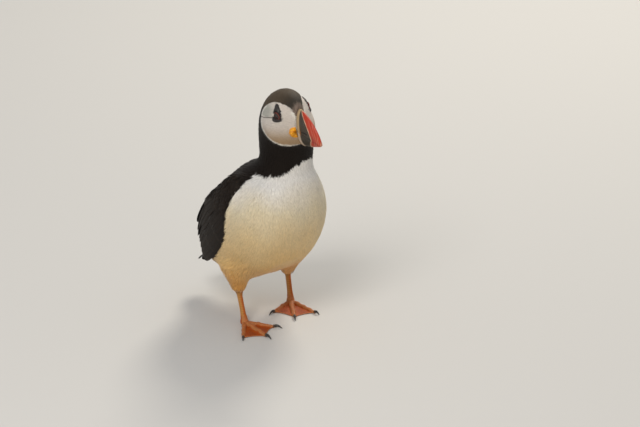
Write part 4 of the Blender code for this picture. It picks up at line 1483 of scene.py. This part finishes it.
def side_patch(name, side, centre, outline, rings, height, colour, look, *nodes):
    """A low solid on the side of the head, from an outline (forward, up) of its side view.

    height(q, x, y) and colour(q, x, y) take how far out each point is, 0 to 1, and its place.
    """
    centre, outline = np.asarray(centre, float), np.asarray(outline, float)
    q = np.linspace(0.04, 1, rings)
    flat = centre + (outline - centre)[None] * q[:, None, None]
    x, y = flat[..., 0].ravel(), flat[..., 1].ravel()
    inward = head_turn(1.0) @ np.array((0, -side, 0.0))
    start = turned(np.column_stack([x, np.full(len(x), side * 30.0), y]))
    low = turned(np.column_stack([x, np.full(len(x), side * 5.5), y]))
    found = [SKIN.tree.ray_cast(Vector(p), Vector(inward), 26.0) for p in start]
    found = [f if f[0] else SKIN.tree.find_nearest(Vector(p)) for f, p in zip(found, low)]
    spot = np.array([f[0] for f in found])
    normal = normalised(np.array([f[1] for f in found]))
    share = np.repeat(q, len(outline))
    top = spot + normal * height(share, x, y)[:, None]
    under = spot - normal * 0.6
    n = len(outline)
    shape = (rings, n, 3)
    rows = np.concatenate([top.reshape(shape), under.reshape(shape)[::-1]])
    tint = colour(share, x, y).reshape(shape)
    tube_object(name, rows, np.concatenate([tint, tint[::-1]]), look, *nodes)


def rounded(outline, count):
    """A closed outline drawn more finely and evenly, with its corners eased."""
    ring = np.asarray(outline, float)
    steps = np.linalg.norm(np.diff(ring, axis=0, append=ring[:1]), axis=1)
    at = np.concatenate([[0], np.cumsum(steps)])
    even = np.linspace(0, at[-1], count, endpoint=False)
    closed = np.concatenate([ring, ring[:1]])
    fine = np.column_stack([np.interp(even, at, c) for c in closed.T])
    for _ in range(3):
        fine = (np.roll(fine, 1, 0) + 2 * fine + np.roll(fine, -1, 0)) / 4
    return fine


def make_face_skin(word, side):
    def plate_height(q, x, y):
        return 1.25 * (1 - q**4) - 0.15 + 0.07 * np.sin(y * 5 + x * 3)

    def plate_colour(q, x, y):
        # painted highlight on the plate's raised middle
        return mixed(PLATE_SLATE, PLATE_PAINTED_HIGHLIGHT, np.clip(1 - q**2, 0, 1) * 0.5)

    for name, (outline, middle) in (("upper", UPPER_PLATE), ("lower", LOWER_PLATE)):
        side_patch(f"eye_plate_{name}_{word}", side, middle, rounded(outline, 64), 12,
                   plate_height, plate_colour, "plate")

    def folds(x, y):
        bend = (x - ROSETTE_CENTRE[0]) * 0.16
        return np.sin((y - ROSETTE_CENTRE[1] + bend * (x - ROSETTE_CENTRE[0])) * 3.1)

    def rosette_height(q, x, y):
        return 1.75 * np.sqrt(np.clip(1 - q**2, 0, 1)) * (1 + 0.15 * folds(x, y)) - 0.1

    def rosette_colour(q, x, y):
        share = np.clip(0.12 - 0.30 * folds(x, y) + 0.25 * q**3, 0, 1)
        return mixed(ROSETTE_YELLOW, ROSETTE_DEEP, share)

    ring = ROSETTE_CENTRE + swung(circle(72), (ROSETTE_RADII[0], 0), (0, ROSETTE_RADII[1]))
    side_patch(f"rosette_{word}", side, ROSETTE_CENTRE, ring, 34, rosette_height, rosette_colour,
               "rosette", f"gape_rosette_{word}")


for side, word in SIDES:
    make_eye(word, side)
    make_eyelids(word, side)
    make_face_skin(word, side)

# ------------------------------------------------------------------ legs and feet
TOE_BASE = {"left": (-22.5, 32.0, 0.0), "right": (-12.5, -25.5, 0.0)}
FOOT_TURN_IN = {"left": 34.0, "right": -6.0}
ANKLE_RISE = 28.0
ANKLE_BACK = {"left": 4.0, "right": 7.0}
TARSUS_HALF = (2.75, 2.05)  # front to back, and across
TOES = [  # name, angle outwards, length, radius at base, claw
    ("inner", -38.0, 26.0, 2.0, 8.0),
    ("middle", 0.0, 33.0, 2.3, 8.0),
    ("outer", 35.0, 31.0, 2.0, 6.5),
]
WEB_ENDS = (TOES[0][1] + 0.01, TOES[2][1] - 0.01)
JOINTS = {"inner": (0.50,), "middle": (0.38, 0.70), "outer": (0.30, 0.55, 0.78)}
WEB_TOP, WEB_SAG = 1.15, 1.4
LEG_VOXEL = 0.42
WEB_ORANGE = (0.42, 0.078, 0.008)
WEB_DARK = (0.22, 0.036, 0.005)
TOE_PALE = (0.52, 0.19, 0.07)
TARSUS_ORANGE = (0.52, 0.13, 0.014)
TARSUS_PALE = (0.60, 0.32, 0.09)
SOLE_DARK = (0.16, 0.055, 0.025)
CLAW = (0.022, 0.018, 0.015)
CLAW_BASE = (0.10, 0.055, 0.030)


def spun(points, degrees):
    """Points turned to the left about the upright axis."""
    c, s = math.cos(math.radians(degrees)), math.sin(math.radians(degrees))
    x, y, z = np.moveaxis(np.asarray(points, float), -1, 0)
    return np.stack([x * c - y * s, x * s + y * c, z], -1)


def foot_frame(points, word, side):
    """From a foot's own frame, its middle toe ahead, to the bird's."""
    return spun(points, -FOOT_TURN_IN[word] * side) + TOE_BASE[word]


def own_foot_frame(points, word, side):
    """The way back: from the bird's frame to the foot's own."""
    return spun(points - np.array(TOE_BASE[word]), FOOT_TURN_IN[word] * side)


def toe_direction(angle, side):
    a = math.radians(angle)
    return np.array([math.cos(a), math.sin(a) * side, 0])


def ellipses(centres, across, along, half_across, half_along, around):
    """Rings of ellipses: one centre and one pair of half widths for each ring."""
    a = circle(around)
    across, along = np.asarray(across, float), np.asarray(along, float)
    return (np.asarray(centres, float)[:, None]
            + np.cos(a)[None, :, None] * across * np.asarray(half_across)[:, None, None]
            + np.sin(a)[None, :, None] * along * np.asarray(half_along)[:, None, None])


def toe_tube(toe, side):
    name, angle, length, radius, _ = toe
    direction = toe_direction(angle, side)
    t = np.linspace(0, 1, 40)
    swell = sum(0.20 * bump_at(t, j, 0.055) for j in JOINTS[name])
    size = radius * (1 - 0.34 * t) * (0.94 + swell) * np.where(t > 0.94, 1 - (t - 0.94) * 5, 1)
    centres = np.outer(-1.0 + (length + 1.0) * t, direction)
    centres[:, 2] = size * 0.92 - 0.1
    return ellipses(centres, np.cross([0, 0, 1], direction), (0, 0, 1), size, size * 0.95, 20)


def web_edge(side, angles):
    """How far the web reaches at each angle outwards, between the toes' tips."""
    tips = np.array([toe_direction(a, side)[:2] * n * 0.965 for _, a, n, _, _ in TOES])
    reach = np.zeros(len(angles))
    for start, end in zip(tips, tips[1:]):
        line = end - start
        for k, angle in enumerate(angles):
            ray = toe_direction(angle, side)[:2]
            along, share = np.linalg.solve(np.column_stack([ray, -line]), start)
            if -1e-6 <= share <= 1 + 1e-6:
                reach[k] = along - WEB_SAG * 4 * share * (1 - share)
    return reach


def web_slab(side):
    """The web as rings from the heel outwards, each its upper side and then its lower side."""
    angles = np.linspace(*WEB_ENDS, 90)
    reach = web_edge(side, angles)
    share = np.linspace(0.02, 1, 60)
    ray = np.array([toe_direction(a, side) for a in angles])
    flat = share[:, None, None] * (reach[:, None] * ray)[None]
    spread = TOES[2][1] - TOES[0][1]
    between = np.abs(np.sin((angles - TOES[0][1]) / spread * math.pi * 2)) ** 0.7
    wrinkle = 0.09 * np.sin(angles * 1.9 + 2.5 * np.sin(share[:, None] * 9)) * share[:, None]
    rim = 0.30 * bump_at(share, 0.985, 0.02)[:, None]
    top = flat.copy()
    top[..., 2] = WEB_TOP - 0.42 * between[None] * share[:, None] + wrinkle * between[None] + rim
    under = flat.copy()
    under[..., 2] = 0.12
    return np.concatenate([top, under[:, ::-1]], 1)


def leg_tubes(word, side):
    """The closed forms that one leg is melted together from, in the bird's frame."""
    feet = [toe_tube(toe, side) for toe in TOES] + [web_slab(side)]
    heights = np.array([0.15, 1.5, 3.0, 4.6, 6.2, 7.6])
    sizes = np.array([0.86, 1.0, 0.98, 0.86, 0.72, 0.62])
    centres = np.column_stack([0.4 - heights * 0.05, heights * 0, heights])
    feet.append(ellipses(centres, (1, 0, 0), (0, 1, 0), 3.7 * sizes, 3.4 * sizes, 28))
    made = [foot_frame(t, word, side) for t in feet]
    base = np.array(TOE_BASE[word])
    ankle = base + [-ANKLE_BACK[word], 0, ANKLE_RISE]
    t = np.linspace(-0.12, 1, 44)
    end = base + [0, 0, 4.5]
    knob = (1 + 0.42 * bump_at(t, 0.03, 0.10) + 0.22 * bump_at(t, 1, 0.14)
            - 0.05 * bump_at(t, 0.5, 0.3))
    made.append(ellipses(ankle + (end - ankle) * t[:, None], (1, 0, 0), (0, 1, 0),
                         TARSUS_HALF[0] * knob, TARSUS_HALF[1] * knob, 28))
    return made


def melted(tubes, voxel, rounds):
    """One smooth closed surface round some closed tubes."""
    points, quads, triangles, start = [], [], [], 0
    for rings in tubes:
        p, q, t = closed_tube(rings)
        points.append(p)
        quads.append(q + start)
        triangles.append(t + start)
        start += len(p)
    obj = new_object("source", *(np.concatenate(part) for part in (points, quads, triangles)))
    outwards(obj)
    found, faces = remeshed(obj, voxel)
    return smoothed(found, faces, rounds), faces


def toe_place(own, side):
    """For each point of a foot: nearest toe, distance from its axis, and distance along it."""
    best = np.full(len(own), 99.0)
    toe, along = np.zeros(len(own), int), np.zeros(len(own))
    for number, (_, angle, length, _, _) in enumerate(TOES):
        direction = toe_direction(angle, side)
        s = np.clip(own @ direction, 0, length)
        away = np.linalg.norm((own - s[:, None] * direction)[:, :2], axis=1)
        closer = away < best
        best[closer], toe[closer], along[closer] = away[closer], number, s[closer]
    return toe, best, along


def make_leg(word, side):
    points, faces = melted(leg_tubes(word, side), LEG_VOXEL, 6)
    normals = vertex_normals(points, faces)
    own = own_foot_frame(points, word, side)
    toe, away, along = toe_place(own, side)
    radius = np.array([t[3] for t in TOES])[toe] * (1 - 0.01 * along)
    low = smoothstep(9.0 - own[:, 2], 0, 3)
    on_toe = smoothstep(radius * 1.15 - away, 0, 0.5) * low
    shank = 1 - smoothstep(9.5 - own[:, 2], 0, 3)
    upper = smoothstep(normals[:, 2], 0.1, 0.6)
    toe_scute = np.abs(np.sin(along * math.pi / 1.35)) ** 0.6
    front = smoothstep(normals[:, 0], -0.2, 0.5)
    shank_scute = np.abs(np.sin(own[:, 2] * math.pi / 1.9)) ** 0.6
    mesh_lines = ripple(points, 1.5, 31)
    relief = 0.17 * (toe_scute - 0.75) * on_toe * upper
    relief += 0.15 * (shank_scute - 0.75) * shank * front
    relief += 0.05 * mesh_lines * (1 - on_toe * upper)
    points = points + normals * relief[:, None]
    points[:, 2] = np.maximum(points[:, 2], 0.0)
    web = np.clip(1 - on_toe - shank, 0, 1)
    hollow = smoothstep(away, 2.0, 6.0)
    colour = mixed(TARSUS_ORANGE, TARSUS_PALE, 0.75 * smoothstep(np.abs(normals[:, 1]), 0.35, 0.95))
    colour = mixed(colour, TOE_PALE, low * 0.65)
    colour = mixed(colour, np.array(TOE_PALE) * 0.55, 0.7 * (1 - toe_scute) * on_toe * upper)
    colour = mixed(colour, np.array(TARSUS_ORANGE) * 0.5, 0.6 * (1 - shank_scute) * shank * front)
    webbing = mixed(WEB_ORANGE, WEB_DARK, hollow * 0.55 * (0.7 + 0.3 * mesh_lines))
    rim = smoothstep(web_rim(own, side), 0.955, 0.985)
    webbing = mixed(webbing, TOE_PALE, 0.8 * rim)
    colour = mixed(colour, webbing, web * low)
    knee = bump_at(own[:, 2], ANKLE_RISE - 1.5, 2.6)
    colour = mixed(colour, np.array(TARSUS_PALE) * 0.62, 0.55 * knee)
    colour = mixed(colour, SOLE_DARK, smoothstep(-normals[:, 2], 0.3, 0.8) * low)
    obj = new_object(f"leg_{word}", points, faces)
    paint(obj, np.clip(colour, 0, 1))
    finish_piece(obj, "leg", f"tarsus_{word}", f"foot_{word}")


def web_rim(own, side):
    """How far out in the web each point lies, 1 at its front edge."""
    angle = np.degrees(np.arctan2(own[:, 1] * side, own[:, 0]))
    grid = np.linspace(*WEB_ENDS, 60)
    reach = np.interp(angle, grid, web_edge(side, grid))
    return np.hypot(own[:, 0], own[:, 1]) / reach


def make_claw(word, side, toe):
    name, angle, length, radius, claw = toe
    direction = toe_direction(angle, side)
    t = np.linspace(0, 1, 30)
    ahead = (claw * 0.985) * np.sin(0.9 * t) / math.sin(0.9)
    height = radius * 0.62 + 1.3 * np.sin(math.pi * np.minimum(1, t * 1.15)) - 0.55 * t
    size = radius * 0.60 * (1 - t) ** 0.75 + 0.14
    centres = direction * (length - 0.9 + ahead)[:, None]
    centres[:, 2] = np.maximum(height, size + 0.08)
    across = np.cross([0, 0, 1], direction)
    rings = ellipses(centres, across, (0, 0, 1), size * 0.82, size * 1.08, 20)
    colour = mixed(CLAW_BASE, CLAW, smoothstep(np.repeat(t, 20), 0.02, 0.30))
    tube_object(f"claw_{word}_{name}_shape", foot_frame(rings, word, side),
                colour.reshape(rings.shape), "claw", f"claw_{word}_{name}")


for side, word in SIDES:
    make_leg(word, side)
    for toe in TOES:
        make_claw(word, side, toe)

# ------------------------------------------------------------------ floor, light and camera
VIEW_AZIMUTH, VIEW_ELEVATION = -40.0, 22.0
VIEW_DISTANCE = 4.0
VIEW_WIDTH = 0.5246  # metres across the frame at the bird
AIM_RIGHT, AIM_UP = 0.0344, 0.0878  # the frame's middle, from the bird's own zero
STAGE_SIZE = 60.0
FLOOR_GREY = (0.60, 0.59, 0.575, 1)
SKY, SKY_STRENGTH = (0.93, 0.96, 1.0, 1), 0.42
BIRD_MIDDLE = (0, 0, 0.11)
LIGHTS = [  # name, azimuth, elevation, distance, size, power, colour
    ("key", -62, 46, 1.7, 0.8, 14, (1.0, 0.965, 0.91)),
    ("warm bounce", -20, 4, 1.5, 1.0, 3.2, (1.0, 0.78, 0.50)),
    ("sun side", 118, 42, 1.7, 0.6, 17, (1.0, 0.93, 0.80)),
]


def make_floor():
    mesh = bpy.data.meshes.new("floor")
    half = STAGE_SIZE / 2
    mesh.from_pydata([(-half, -half, 0), (half, -half, 0), (half, half, 0), (-half, half, 0)], [],
                     [(0, 1, 2, 3)])
    mesh.materials.append(Surface("pale_floor", 0.85, Base_Color=FLOOR_GREY).material)
    floor = linked("floor", mesh)


def back_from(azimuth, elevation):
    """The direction from the bird to a viewer at this azimuth and elevation."""
    a, e = math.radians(azimuth), math.radians(elevation)
    return Vector((math.sin(a) * math.cos(e), -math.cos(a) * math.cos(e), math.sin(e)))


def place_at(obj, target, back, distance):
    """Puts a lamp or camera back from its target, and turns it to look there."""
    obj.location = target + back * distance
    obj.rotation_euler = (target - obj.location).to_track_quat("-Z", "Y").to_euler()


def make_light(name, azimuth, elevation, distance, size, power, colour):
    """An area light that looks at the bird's middle."""
    data = bpy.data.lights.new(name, "AREA")
    data.shape = "DISK"
    data.size, data.energy, data.color = size, power, colour
    place_at(linked(name, data), Vector(BIRD_MIDDLE), back_from(azimuth, elevation), distance)


def make_world():
    world = bpy.data.worlds.new("studio")
    bpy.context.scene.world = world
    world.use_nodes = True
    shade = world.node_tree.nodes["Background"]
    shade.inputs["Color"].default_value = SKY
    shade.inputs["Strength"].default_value = SKY_STRENGTH


def make_camera():
    data = bpy.data.cameras.new("camera")
    data.sensor_width = 36.0
    data.lens = data.sensor_width * VIEW_DISTANCE / VIEW_WIDTH
    camera = linked("camera", data)
    a, back = math.radians(VIEW_AZIMUTH), back_from(VIEW_AZIMUTH, VIEW_ELEVATION)
    right = Vector((math.cos(a), math.sin(a), 0))
    target = Vector(ORIGIN) + right * AIM_RIGHT + back.cross(right) * AIM_UP
    place_at(camera, target, back, VIEW_DISTANCE)
    bpy.context.scene.camera = camera


bpy.context.scene.view_settings.view_transform = "Standard"
make_floor()
make_world()
for light in LIGHTS:
    make_light(*light)
make_camera()
